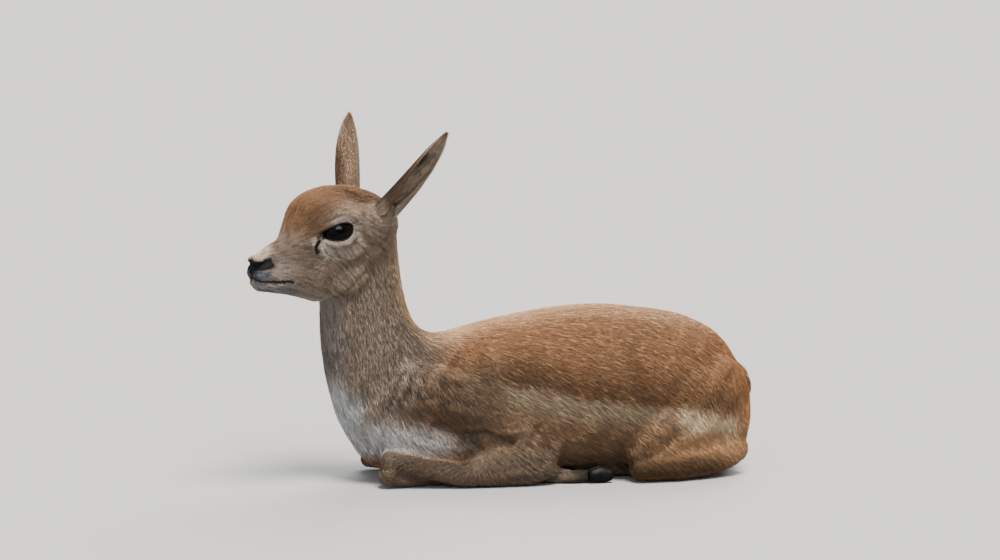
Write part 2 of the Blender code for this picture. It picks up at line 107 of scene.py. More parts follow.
class Side(Enum):
    """A side of the animal, with the sign of its left-hand measure."""

    LEFT = 1
    RIGHT = -1

    @property
    def label(self) -> str:
        """The side as the nodes' names begin."""
        return self.name.lower()


def unit(vectors: Array) -> Array:
    """Scales vectors to length one."""
    length = np.linalg.norm(vectors, axis=-1, keepdims=True)
    return vectors / np.maximum(length, 1e-9)


def step_between(low: float, high: float, values: Array) -> Array:
    """Rises smoothly from 0 at low to 1 at high, which may be the smaller of the two."""
    part = np.clip((values - low) / (high - low), 0, 1)
    return part * part * (3 - 2 * part)


def hump(distance: Array, half_width: float) -> Array:
    """A soft bell that is 1 on a line and fades with distance from it."""
    return np.exp(-((distance / half_width) ** 2))


def spaced(course: tuple, step: float = 1.0) -> Array:
    """Points at even steps along a line through corners.

    Args:
        course: The corners.
        step: The most that two points are apart.

    Returns:
        A row for each point.
    """
    corners = np.array(course, float)
    rows = []
    for start, end in zip(corners, corners[1:]):
        count = max(1, math.ceil(float(np.linalg.norm(end - start)) / step))
        rows += [start + (end - start) * i / count for i in range(count)]
    return np.array([*rows, corners[-1]])


def reach_to(points: Array, line: Array) -> Array:
    """How far each point is from the nearest point of a line.

    Args:
        points: A row for each point.
        line: A row for each point of the line.

    Returns:
        A distance for each point.
    """
    nearest = np.full(len(points), np.inf)
    for place in line:
        nearest = np.minimum(nearest, ((points - place) ** 2).sum(axis=1))
    return np.sqrt(nearest)


def both_alike(measures: Array) -> Array:
    """Lays the animal's two sides over each other, with every measure to the side above 0."""
    return measures * (1, 0, 1) + np.abs(measures) * (0, 1, 0)


def near_line(places: Array, course: Array, half_width: float) -> Array:
    """Tells which places are in the box round a line, as far out as its effect reaches."""
    margin = HUMP_GONE * half_width + LINE_MARGIN
    return ((places > course.min(axis=0) - margin) & (places < course.max(axis=0) + margin)).all(axis=1)


def laid_onto(course: Array, places: Array) -> Array:
    """Moves each point of a line to the nearest of some places."""
    return np.array([places[((places - spot) ** 2).sum(axis=1).argmin()] for spot in course])


def of_nodes(node: Array, *names: str) -> Array:
    """Tells which of some node numbers stand for any of the named nodes of flesh."""
    return np.isin(node, [FLESH.index(name) for name in names])


def ringed(
    line: Array, out: Array, aside: Array, radius: float | Array, sides: int
) -> Array:
    """Lays a ring of points round each point of a line.

    Args:
        line: The line's points.
        out: One way across it at each.
        aside: The other way across it.
        radius: The rings' radius, or one for each.
        sides: How many points each ring has.

    Returns:
        Places, ring by ring.
    """
    angles = np.linspace(0, math.tau, sides, endpoint=False)
    rings = [line + radius * (math.cos(angle) * out + math.sin(angle) * aside) for angle in angles]
    return np.stack(rings, axis=1).reshape(-1, 3)


def smooth_rows(rows: Array, steps: int) -> Array:
    """Catmull-Rom rows between the given rows.

    Args:
        rows: The rows to pass through.
        steps: How many rows each gap is parted into.

    Returns:
        All rows, in order.
    """
    padded = np.vstack([2 * rows[0] - rows[1], rows, 2 * rows[-1] - rows[-2]])
    made = []
    for i in range(1, len(padded) - 2):
        before, start, end, after = padded[i - 1 : i + 3]
        for step in range(steps):
            t = step / steps
            cubic = (3 * start - before - 3 * end + after) * t**3
            square = (2 * before - 5 * start + 4 * end - after) * t**2
            made.append(0.5 * (2 * start + (end - before) * t + square + cubic))
    return np.array([*made, rows[-1]])


@dataclass(frozen=True)
class Noise:
    """Smooth random values in space, the same each run."""

    size: float
    seed: int

    def at(self, points: Array) -> Array:
        """Reads the noise.

        Args:
            points: Places in millimetres.

        Returns:
            A value from -1 to 1 for each place.
        """
        scaled = points / self.size + self.seed * 7.31
        cell = np.floor(scaled).astype(np.int64)
        part = scaled - cell
        part = part * part * (3 - 2 * part)
        total = np.zeros(len(points))
        for corner in np.ndindex(2, 2, 2):
            weight = np.prod(np.where(np.array(corner) == 1, part, 1 - part), axis=1)
            total += weight * self._random(cell + np.array(corner))
        return total

    def _random(self, cells: Array) -> Array:
        """A random number for each lattice point.

        Args:
            cells: Whole-number lattice points.

        Returns:
            A value from -1 to 1 for each.
        """
        mixed = cells[:, 0] * 73856093 ^ cells[:, 1] * 19349663 ^ cells[:, 2] * 83492791
        mixed = (mixed + self.seed * 2654435761) & 0xFFFFFFFF
        mixed = ((mixed ^ (mixed >> 15)) * 2246822519) & 0xFFFFFFFF
        mixed = ((mixed ^ (mixed >> 13)) * 3266489917) & 0xFFFFFFFF
        return (mixed ^ (mixed >> 16)) / 2147483647.5 - 1


@dataclass(frozen=True)
class HeadFrame:
    """The head's own measures: back from the nose tip, aside to its left, up from the mouth."""

    origin: Array
    axes: Array

    EYE_PLACE = (89.0, 26.0, 52.0)
    RAISE = 3.0

    @classmethod
    def from_eyes(cls) -> "HeadFrame":
        """Finds the head from the frame's two eyes.

        Returns:
            The head's frame.
        """
        left, right = (np.array(sum(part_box(name), Vector())) / 2 / MM for name in EYES)
        aside = unit(left - right)
        level = unit(np.cross((0, 0, 1), aside))
        raised = math.radians(cls.RAISE)
        upright = np.array([0.0, 0.0, 1.0])
        back = level * math.cos(raised) - upright * math.sin(raised)
        up = level * math.sin(raised) + upright * math.cos(raised)
        eye_back, _, eye_up = cls.EYE_PLACE
        origin = (left + right) / 2 - back * eye_back - up * eye_up
        return cls(origin, np.array([back, aside, up]))

    def measures(self, points: Array) -> Array:
        """Turns body places into head measures."""
        return (points - self.origin) @ self.axes.T

    def place(self, measures: tuple, side: Side = Side.LEFT) -> Array:
        """Turns head measures on one side into a body place."""
        return self.origin + self.way(measures, side)

    def way(self, measures: tuple, side: Side = Side.LEFT) -> Array:
        """Turns a direction in head measures into the body's frame."""
        back, aside, up = measures
        return np.array([back, side.value * aside, up]) @ self.axes


@dataclass(frozen=True)
class Fold:
    """A line sculpted into the skin, or raised where its depth is below 0."""

    course: tuple
    half_width: float
    depth: float


HEAD_FOLDS = {
    "mouth": Fold(
        ((-1, 0, 0), (3, 8, 0), (9, 14, 0), (20, 19, -1), (32, 21, -1.5), (42, 23, -2)), 1.8, -0.8
    ),
    "lower_lip": Fold(((8, 8, -4), (18, 15, -5), (30, 18, -5)), 2.2, -0.8),
    "nostril": Fold(((6, 10.5, 16.5), (9, 13, 18), (12, 15, 19.8), (14.5, 16, 21.5)), 1.5, 0.9),
    "nose_front": Fold(((-2, 0, 21), (-2.5, 0, 15), (-2, 0, 9)), 4.5, -1.3),
    "tear_slit": Fold(((66, 30, 45), (62.5, 29, 38), (64, 29, 31)), 1.5, 1.3),
    "tear_rim": Fold(((70, 33, 42), (68, 31, 36), (69, 31, 30)), 2.2, -0.9),
    "brow_fold": Fold(((72, 33, 62), (82, 38, 70), (94, 41, 73), (106, 41, 71), (113, 39, 65)), 2.0, 1.5),
    "brow_rim": Fold(((76, 34, 70), (88, 38, 77), (102, 39, 78), (114, 37, 72)), 5.0, -1.3),
    "cheek_line": Fold(((78, 35, 20), (95, 37, 14), (112, 36, 18)), 6.0, 0.9),
    "jaw": Fold(((60, 26, -10), (85, 30, -14), (108, 30, -10), (124, 30, 4)), 7.0, -1.0),
    "ear_root": Fold(((126, 40, 62), (132, 45, 52), (142, 45, 48)), 4.0, 1.4),
}

BODY_FOLDS = {
    "arm_crease": Fold(((-122, 62, 68), (-96, 68, 56), (-70, 71, 57), (-41, 75, 50)), 5.0, 4.0),
    "arm_hollow": Fold(((-92, 66, 50), (-78, 68, 48)), 7.0, 3.5),
    "elbow_back": Fold(((-14, 76, 62), (0, 77, 46), (12, 75, 32), (16, 74, 14)), 4.5, 3.5),
    "thigh_front": Fold(((128, 80, 45), (119, 80, 39), (104, 79, 27), (88, 79, 13)), 6.0, 1.6),
    "tail_edge": Fold(((203, 36, 120), (212, 31, 111), (221, 26, 103), (234, 16, 84)), 3.2, 2.4),
    "shoulder_edge": Fold(((-104, 40, 140), (-122, 52, 118), (-150, 56, 92)), 9.0, -1.6),
    "shoulder_back": Fold(((-70, 52, 138), (-62, 66, 108), (-50, 72, 84)), 11.0, 2.0),
    "flank_hollow": Fold(((92, 66, 138), (104, 74, 112), (104, 79, 84)), 15.0, 2.4),
    "hip": Fold(((150, 48, 152), (170, 50, 140)), 14.0, -2.4),
    "last_ribs": Fold(((30, 72, 120), (40, 76, 90), (44, 77, 60)), 12.0, -1.4),
    "neck_side": Fold(((-200, 36, 216), (-182, 38, 170), (-168, 44, 130)), 9.0, -1.2),
    "neck_root": Fold(((-150, 44, 150), (-180, 48, 118), (-206, 44, 92)), 11.0, 1.5),
    "knee": Fold(((-171, 53, 34), (-162, 55, 38)), 7.0, -1.2),
    "rump_side": Fold(((205, 62, 96), (214, 60, 70), (216, 58, 48)), 12.0, -1.5),
}


@dataclass(frozen=True)
class Lids:
    """The opening between the lids of an eye, in the plane that faces the way it looks."""

    radius: float = 18.5
    looks: tuple = (-0.45, 0.87, 0.12)
    tilt: float = 11.5
    half_length: float = 18.6
    corner: float = 1.5
    upper: tuple = (6.4, 0.36)
    lower: tuple = (11.0, 0.22)
    roundness: float = 0.72
    thickness: float = 1.0
    swell: float = 2.3
    samples: int = 44
    reach: float = 1.9
    front: float = 2.0
    swells: tuple = (0.2, 4.0)
    fades: tuple = (10.0, 3.0)
    opening: float = 2.5

    def axes(self, head: HeadFrame, side: Side) -> Array:
        """The eye's own directions.

        Args:
            head: The head's frame.
            side: The eye's side.

        Returns:
            Rows for along (to the back corner), rise and out.
        """
        out = unit(head.way(self.looks, side))
        level = head.way((1, 0, 0), side)
        level = unit(level - out * (level @ out))
        upright = np.cross(level, out)
        upright = upright if upright[2] > 0 else -upright
        tilt = math.radians(self.tilt)
        along = level * math.cos(tilt) + upright * math.sin(tilt)
        rise = upright * math.cos(tilt) - level * math.sin(tilt)
        return np.array([along, rise, out])

    def edge(self) -> Array:
        """The lids' edge, round the eye, as along and rise.

        Returns:
            A row for each point, from the front corner over the upper lid and back below.
        """
        across = np.cos(np.linspace(math.pi, 0, self.samples))
        upper = self.corner + self._lid(across, *self.upper)
        lower = self.corner - self._lid(across, *self.lower)
        over = np.column_stack([across * self.half_length, upper])
        under = np.column_stack([across * self.half_length, lower])[::-1]
        return np.vstack([over, under[1:-1]])

    def _lid(self, across: Array, height: float, peak: float) -> Array:
        """How far a lid's edge is from the line between the corners.

        Args:
            across: From -1 at the front corner to 1 at the back.
            height: The most that it is.
            peak: Where that is.

        Returns:
            A height for each place.
        """
        front = self.roundness * (1 + peak)
        rear = self.roundness * (1 - peak)
        rising = (np.clip(1 + across, 0, 2) / (1 + peak)) ** front
        falling = (np.clip(1 - across, 0, 2) / (1 - peak)) ** rear
        return height * rising * falling

    def outside(self, local: Array) -> Array:
        """How far points are outside the lids' edge, or inside where below 0.

        Args:
            local: Along, rise and out for each point.

        Returns:
            A distance for each point.
        """
        edge = np.column_stack([self.edge(), np.zeros(2 * self.samples - 2)])
        flat = local * (1, 1, 0)
        distance = reach_to(flat, spaced(np.vstack([edge, edge[:1]]), 0.8))
        across = np.clip(local[:, 0] / self.half_length, -1, 1)
        above = local[:, 1] < self.corner + self._lid(across, *self.upper)
        below = local[:, 1] > self.corner - self._lid(across, *self.lower)
        within = above & below & (np.abs(local[:, 0]) < self.half_length)
        return np.where(within, -distance, distance)

    def shaped(self, points: Array, head: HeadFrame, side: Side) -> Array:
        """Forms lids round one eye.

        Args:
            points: The skin's points in millimetres.
            head: The head's frame.
            side: The eye's side.

        Returns:
            The points, with those near the eye moved.
        """
        centre = head.place(HeadFrame.EYE_PLACE, side)
        local = (points - centre) @ self.axes(head, side).T
        near = (np.linalg.norm(local, axis=1) < self.radius * self.reach) & (local[:, 2] > self.front)
        spot = local[near]
        away = np.linalg.norm(spot, axis=1)
        outside = self.outside(spot)
        lid = self.radius + self.thickness + self.swell * step_between(*self.swells, outside)
        fade = step_between(*self.fades, outside)
        wanted = np.where(outside < 0, self.radius - self.opening, lid * fade + away * (1 - fade))
        wanted = np.where((outside > self.fades[1]) & (away > wanted), away, wanted)
        moved = points.copy()
        moved[near] = centre + (points[near] - centre) * (wanted / away)[:, None]
        return moved


@dataclass(frozen=True)
class EarRow:
    """One cross-section of an ear: its place along, width, cup's depth, closing of the rims and wall."""

    along: float
    width: float
    depth: float
    closing: float
    wall: float


EAR_ROWS = (
    EarRow(0.0, 24, 26, 0.2, 9.0),
    EarRow(0.12, 25.5, 26.5, 0.9, 9.0),
    EarRow(0.21, 27, 25, 0.8, 8.0),
    EarRow(0.30, 28, 23, 0.7, 6.5),
    EarRow(0.42, 29, 20, 0.55, 4.5),
    EarRow(0.55, 29, 15.5, 0.4, 2.6),
    EarRow(0.68, 27, 11, 0.35, 1.6),
    EarRow(0.80, 22, 8.5, 0.25, 1.6),
    EarRow(0.90, 15, 6, 0.2, 1.6),
    EarRow(0.97, 8, 4, 0.1, 1.2),
    EarRow(1.0, 4, 2.5, 0.0, 0.8),
)


@dataclass
class Surface:
    """Points and triangles of the skin, and what the coat needs to know at each point."""

    points: Array
    triangles: Array
    node: Array
    normals: Array
    lie: Array
    length: Array
    along_ear: Array
    round_ear: Array
    in_ear: Array
    colour: Array
    bare: Array

    @cached_property
    def smoother(self) -> "Smoother":
        """Evens values out over this surface."""
        return Smoother(self.triangles, len(self.points))


@dataclass(frozen=True)
class EarShape:
    """A leaf-shaped cup that opens forward and outward."""

    length: float = 126.0
    root: tuple = (139.0, 30.0, 66.0)
    lean: tuple = (0.300, 0.545, 0.783)
    opens: tuple = (0.05, 0.90, -0.40)
    bow: float = 4.5
    sides: int = 26
    steps: int = 11
    coat: float = 0.5
    ridges: int = 5
    ridge_height: float = 0.35
    inner_spread: float = 0.35
    outer_hair: float = 4.2
    inner_hair: float = 3.4
    rim_hair: float = 2.0
    tip_shorter: float = 0.45
    closes: float = 0.6
    least: float = 0.3

    def axes(self, head: HeadFrame, side: Side) -> Array:
        """The ear's own directions.

        Args:
            head: The head's frame.
            side: The ear's side.

        Returns:
            Rows for across, the way it opens, and the way it leans.
        """
        lean = unit(head.way(self.lean, side))
        opens = head.way(self.opens, side)
        opens = unit(opens - lean * (opens @ lean))
        return np.array([np.cross(lean, opens), opens, lean])

    def surface(self, head: HeadFrame, side: Side, node: int) -> Surface:
        """Lofts the ear's back and its cup.

        Args:
            head: The head's frame.
            side: The ear's side.
            node: The ear's number among the nodes.

        Returns:
            The ear's skin, with the lie of its hair.
        """
        across, opens, lean = self.axes(head, side)
        rows = smooth_rows(np.array([astuple(row) for row in EAR_ROWS]), self.steps)
        rings, along, cup, turns = [], [], [], []
        for part, width, depth, closing, wall in rows:
            centre = head.place(self.root, side) + lean * self.length * part
            centre = centre + opens * self.bow * math.sin(math.pi * part)
            reach = math.pi / 2 * (1 + closing * self.closes)
            angles = np.linspace(-reach, reach, self.sides)
            ridge = self.ridge_height * np.cos(angles / reach * math.pi * self.ridges)
            skins = ((angles, self.coat + 0 * ridge), (angles[::-1], wall - self.coat / 2 + ridge))
            for turned, inset in skins:
                wide = np.maximum(width / 2 - inset, self.least)
                deep = np.maximum(depth / 2 - inset, self.least)
                x, y = wide * np.sin(turned), -deep * np.cos(turned)
                rings.append(centre + np.outer(x, across) + np.outer(y, opens))
            along += [part] * (2 * self.sides)
            cup += [False] * self.sides + [True] * self.sides
            turns += [*(side.value * angles / reach), *(side.value * angles[::-1] / reach)]
        points = np.vstack(rings)
        triangles = tube_triangles(len(rows), 2 * self.sides)
        count = len(points)
        out = points - (head.place(self.root, side) + np.outer(np.array(along) * self.length, lean))
        cup, turns = np.array(cup), np.array(turns)
        lie = np.tile(lean, (count, 1)) + self.inner_spread * unit(out) * cup[:, None]
        length = np.where(cup, self.inner_hair + self.rim_hair * np.abs(turns), self.outer_hair)
        length = length * (1 - self.tip_shorter * step_between(0.8, 1.0, np.array(along)))
        return Surface(
            points=points, triangles=triangles, node=np.full(count, node), normals=np.zeros((count, 3)),
            lie=lie, length=length, along_ear=np.array(along), round_ear=turns, in_ear=cup,
            colour=np.zeros((count, 3)), bare=np.zeros(count),
        )


def tube_triangles(rings: int, sides: int) -> Array:
    """Triangles of a closed tube with a capped start and end.

    Args:
        rings: How many rings it has.
        sides: How many points each ring has.

    Returns:
        A row of three point numbers for each triangle.
    """
    faces = []
    for ring in range(rings - 1):
        base = ring * sides
        for i in range(sides):
            j = (i + 1) % sides
            faces.append((base + i, base + j, base + sides + j))
            faces.append((base + i, base + sides + j, base + sides + i))
    last = (rings - 1) * sides
    for i in range(1, sides - 1):
        faces.append((0, i + 1, i))
        faces.append((last, last + i, last + i + 1))
    return np.array(faces)


def mesh_of(name: str, points: Array, triangles: Array) -> Mesh:
    """Makes a mesh from arrays.

    Args:
        name: The mesh's name.
        points: Places in millimetres.
        triangles: Three point numbers for each triangle.

    Returns:
        The mesh, smooth shaded.
    """
    mesh = bpy.data.meshes.new(name)
    count = len(triangles)
    mesh.vertices.add(len(points))
    mesh.vertices.foreach_set("co", (points * MM).astype(np.float32).ravel())
    mesh.loops.add(count * 3)
    mesh.loops.foreach_set("vertex_index", triangles.astype(np.int32).ravel())
    mesh.polygons.add(count)
    mesh.polygons.foreach_set("loop_start", np.arange(0, count * 3, 3, dtype=np.int32))
    mesh.update(calc_edges=True)
    mesh.validate()
    mesh.shade_smooth()
    return mesh


def linked(name: str, data: bpy.types.ID) -> Object:
    """Puts a mesh, a light or a camera into the scene.

    Args:
        name: The object's name.
        data: What it shows.

    Returns:
        The object.
    """
    obj = bpy.data.objects.new(name, data)
    bpy.context.scene.collection.objects.link(obj)
    return obj


def welded(solid: Object, swell: float = 0.0) -> Mesh:
    """Copies a solid's mesh, with the corners that touch welded.

    Args:
        solid: One of the frame's objects.
        swell: How far its surface is moved outward, in millimetres.

    Returns:
        The copy.
    """
    part = bmesh.new()
    part.from_mesh(solid.data)
    bmesh.ops.remove_doubles(part, verts=part.verts, dist=MERGE * MM)
    part.normal_update()
    for vert in part.verts:
        vert.co += vert.normal * swell * MM
    mesh = bpy.data.meshes.new(solid.name)
    part.to_mesh(mesh)
    part.free()
    return mesh


def fuse(obj: Object, voxel: float) -> None:
    """Adds a modifier that joins an object's parts under one even surface.

    Args:
        obj: The object.
        voxel: How fine the surface is, in millimetres.
    """
    remesh = obj.modifiers.new("fuse", "REMESH")
    remesh.mode = "VOXEL"
    remesh.voxel_size = voxel * MM


def shown(name: str, mesh: Mesh, material: Material) -> Object:
    """Puts a mesh into the scene as a piece that rides on the body.

    Args:
        name: The piece's name.
        mesh: Its mesh, in the body's frame.
        material: Its finish.

    Returns:
        The piece.
    """
    piece = linked(name, mesh)
    mesh.materials.clear()
    mesh.materials.append(material)
    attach(piece, ROOT)
    LOG.info("%s: %d faces", name, len(mesh.polygons))
    return piece


def places_of(mesh: Mesh) -> Array:
    """Reads a mesh's points.

    Args:
        mesh: The mesh, in metres.

    Returns:
        Places in millimetres.
    """
    flat = np.empty(len(mesh.vertices) * 3, np.float32)
    mesh.vertices.foreach_get("co", flat)
    return flat.reshape(-1, 3).astype(float) / MM


def triangles_of(mesh: Mesh) -> Array:
    """Reads a mesh's triangles.

    Args:
        mesh: The mesh.

    Returns:
        Three point numbers for each triangle.
    """
    mesh.calc_loop_triangles()
    flat = np.empty(len(mesh.loop_triangles) * 3, np.int32)
    mesh.loop_triangles.foreach_get("vertices", flat)
    return flat.reshape(-1, 3)


def normals_of(points: Array, triangles: Array) -> Array:
    """Works out the way that a surface faces at each point.

    Args:
        points: Places of the points.
        triangles: Three point numbers for each triangle.

    Returns:
        A direction for each point.
    """
    a, b, c = (points[triangles[:, i]] for i in range(3))
    faces = np.cross(b - a, c - a)
    total = np.zeros_like(points)
    for corner in range(3):
        for axis in range(3):
            total[:, axis] += np.bincount(triangles[:, corner], faces[:, axis], len(points))
    return unit(total)


def evaluated(obj: Object) -> Mesh:
    """Applies an object's modifiers to a new mesh, and removes the object.

    Args:
        obj: The object.

    Returns:
        The mesh.
    """
    graph = bpy.context.evaluated_depsgraph_get()
    graph.update()
    mesh = bpy.data.meshes.new_from_object(obj.evaluated_get(graph))
    bpy.data.objects.remove(obj)
    return mesh


class Smoother:
    """Evens values out over a surface, between points that share an edge."""

    def __init__(self, triangles: Array, count: int) -> None:
        """Finds the neighbours.

        Args:
            triangles: Three point numbers for each triangle.
            count: How many points there are.
        """
        pairs = np.vstack([triangles[:, [0, 1]], triangles[:, [1, 2]], triangles[:, [2, 0]]])
        self.ends = np.vstack([pairs, pairs[:, ::-1]])
        self.count = count
        self.share = 1 / np.maximum(np.bincount(self.ends[:, 0], minlength=count), 1)

    def even(self, values: Array, rounds: int, weight: Array | float = 0.5) -> Array:
        """Moves each value towards its neighbours' mean, over and over.

        Args:
            values: A row for each point.
            rounds: How often.
            weight: How far each goes in one round.

        Returns:
            The evened values.
        """
        made = values.astype(float).reshape(self.count, -1).copy()
        pull = np.broadcast_to(np.asarray(weight, float).reshape(-1, 1), (self.count, 1))
        for _ in range(rounds):
            for axis in range(made.shape[1]):
                total = np.bincount(self.ends[:, 0], made[self.ends[:, 1], axis], self.count)
                made[:, axis] += pull[:, 0] * (total * self.share - made[:, axis])
        return made.reshape(values.shape)


@dataclass(frozen=True)
class Skin:
    """One surface for all the flesh, sculpted from copies of the frame's solids."""

    nodes: dict
    head: HeadFrame
    lids: Lids
    trunk_rounds: int = 48
    fine_rounds: int = 9
    leg_softness: float = 0.9
    seams: tuple = (
        ((160, 66, 46), (84, 36, 42)), ((-30, 70, 38), (48, 28, 26)), ((-200, 54, 34), (22, 22, 20))
    )
    head_reach: tuple = (190.0, -40.0)
    soft_rounds: int = 36
    depth_rounds: int = 48
    seam_rounds: int = 170
    seam_wear: float = 0.6

    def built(self) -> Surface:
        """Builds the whole skin.

        Returns:
            The skin's surface.
        """
        mesh = self._fused()
        points, triangles = places_of(mesh), triangles_of(mesh)
        smoother = Smoother(triangles, len(points))
        label = self._labels(points)
        soft = of_nodes(label, *TRUNK) + self.leg_softness * of_nodes(label, *LEG_TOPS)
        trunk = smoother.even(soft, self.soft_rounds)
        points = smoother.even(points, self.fine_rounds)
        points = smoother.even(points, self.trunk_rounds, trunk * 0.5)
        points = self._filled(points, triangles, smoother)
        depth = smoother.even(self._depths(label), self.depth_rounds) + SEAM_OVERLAP
        points = points - normals_of(points, triangles) * depth[:, None]
        points = self._sculpted(points, triangles)
        points[:, 2] = np.maximum(points[:, 2], FLOOR_GAP)
        mesh = self._thinned(mesh, points, label)
        points, triangles = places_of(mesh), triangles_of(mesh)
        bpy.data.meshes.remove(mesh)
        return self._with_ears(points, triangles)

    def _filled(self, points: Array, triangles: Array, smoother: Smoother) -> Array:
        """Evens out where a leg folds against the body, filling its grooves more than it wears its ridges.

        Args:
            points: Places in millimetres.
            triangles: Three point numbers for each triangle.
            smoother: The surface's smoother.

        Returns:
            The evened places.
        """
        places = both_alike(points)
        near = np.zeros(len(points))
        for centre, radii in self.seams:
            away = np.linalg.norm((places - np.array(centre)) / np.array(radii), axis=1)
            near = np.maximum(near, step_between(1.0, 0.7, away))
        evened = smoother.even(points, self.seam_rounds, near * 0.5)
        out = normals_of(points, triangles)
        inward = np.minimum(((evened - points) * out).sum(axis=1), 0)
        return evened - out * (inward * (1 - self.seam_wear))[:, None]

    def _fused(self) -> Mesh:
        """Joins copies of the flesh and eyes, swollen to close the thin cuts, under one surface.

        Returns:
            The surface's mesh.
        """
        joined = bmesh.new()
        for name in (*FLESH, *EYES):
            mesh = welded(self.nodes[name], SEAM_OVERLAP)
            joined.from_mesh(mesh)
            bpy.data.meshes.remove(mesh)
        mesh = bpy.data.meshes.new("flesh")
        joined.to_mesh(mesh)
        joined.free()
        flesh = linked("flesh", mesh)
        fuse(flesh, SKIN_VOXEL)
        return evaluated(flesh)

    def _labels(self, points: Array) -> Array:
        """Finds the flesh node that each point belongs to.

        Args:
            points: Places in millimetres.

        Returns:
            A node number for each point.
        """
        verts, faces, owner = [], [], []
        for number, name in enumerate(FLESH):
            mesh = self.nodes[name].data
            start = len(verts)
            verts += [vert.co.copy() for vert in mesh.vertices]
            faces += [[start + i for i in face.vertices] for face in mesh.polygons]
            owner += [number] * len(mesh.polygons)
        tree = BVHTree.FromPolygons(verts, faces)
        return np.array([owner[tree.find_nearest(place)[2]] for place in points * MM])

    def _depths(self, label: Array) -> Array:
        """How deep the skin lies under the coat.

        Args:
            label: The node number of each point.

        Returns:
            A depth for each point.
        """
        depth = np.full(len(label), COAT_DEPTH["legs"])
        for key, names in (("trunk", TRUNK), ("head", ("head",)), ("tail", ("tail",))):
            depth[of_nodes(label, *names)] = COAT_DEPTH[key]
        return depth

    def _sculpted(self, points: Array, triangles: Array) -> Array:
        """Adds folds, lids, lips and nostrils.

        Args:
            points: Places in millimetres.
            triangles: Three point numbers for each triangle.

        Returns:
            The sculpted places.
        """
        points = points.copy()
        normals = normals_of(points, triangles)
        measures = self.head.measures(points)
        behind, below = self.head_reach
        on_head = np.flatnonzero((measures[:, 0] < behind) & (measures[:, 2] > below))
        self._press(points, normals, on_head, both_alike(measures[on_head]), HEAD_FOLDS)
        self._press(points, normals, np.arange(len(points)), both_alike(points), BODY_FOLDS)
        for side in Side:
            points = self.lids.shaped(points, self.head, side)
        return points

    def _press(
        self, points: Array, normals: Array, chosen: Array, measures: Array,
        folds: dict,
    ) -> None:
        """Moves points inward along folds, or outward along ridges.

        Args:
            points: All places, which are changed.
            normals: The way the skin faces at each.
            chosen: The numbers of the points that the folds may reach.
            measures: Those points in the folds' measures, with both sides alike.
            folds: The folds by name.
        """
        for fold in folds.values():
            course = spaced(fold.course)
            near = near_line(measures, course, fold.half_width)
            place = measures[near]
            fall = hump(reach_to(place, laid_onto(course, place)), fold.half_width)
            rows = chosen[near]
            points[rows] -= normals[rows] * (fold.depth * fall)[:, None]

    def _thinned(self, mesh: Mesh, points: Array, label: Array) -> Mesh:
        """Thins the body's triangles, and keeps the head's.

        Args:
            mesh: The fused mesh, which is used up.
            points: The sculpted places.
            label: The node number of each point.

        Returns:
            The thinned mesh.
        """
        mesh.vertices.foreach_set("co", (points * MM).astype(np.float32).ravel())
        mesh.update()
        obj = linked("thinning", mesh)
        body = obj.vertex_groups.new(name="body")
        body.add(np.flatnonzero(~of_nodes(label, "head")).tolist(), 1.0, "REPLACE")
        thin = obj.modifiers.new("thin", "DECIMATE")
        thin.vertex_group = "body"
        thin.ratio = min(1.0, SKIN_TRIANGLES / (2 * len(mesh.polygons)))
        made = evaluated(obj)
        bpy.data.meshes.remove(mesh)
        return made

    def _with_ears(self, points: Array, triangles: Array) -> Surface:
        """Joins the ears to the body's skin.

        Args:
            points: The body's places.
            triangles: The body's triangles.

        Returns:
            The whole surface.
        """
        count = len(points)
        parts = [
            Surface(
                points=points, triangles=triangles, node=self._labels(points),
                normals=np.zeros((count, 3)), lie=np.zeros((count, 3)), length=np.zeros(count),
                along_ear=np.full(count, -1.0), round_ear=np.zeros(count), in_ear=np.zeros(count, bool),
                colour=np.zeros((count, 3)), bare=np.zeros(count),
            )
        ]
        for number, side in enumerate(Side):
            parts.append(EarShape().surface(self.head, side, len(FLESH) + number))
        starts = np.cumsum([0] + [len(part.points) for part in parts[:-1]])
        whole = Surface(
            *(
                np.concatenate([getattr(part, name) for part in parts])
                for name in Surface.__dataclass_fields__
            )
        )
        whole.triangles = np.vstack([part.triangles + start for part, start in zip(parts, starts)])
        whole.normals = normals_of(whole.points, whole.triangles)
        return whole


@dataclass(frozen=True)
class Comb:
    """The lie of the coat at one place: the place, the way the hair points and its length."""

    place: tuple
    way: tuple
    length: float


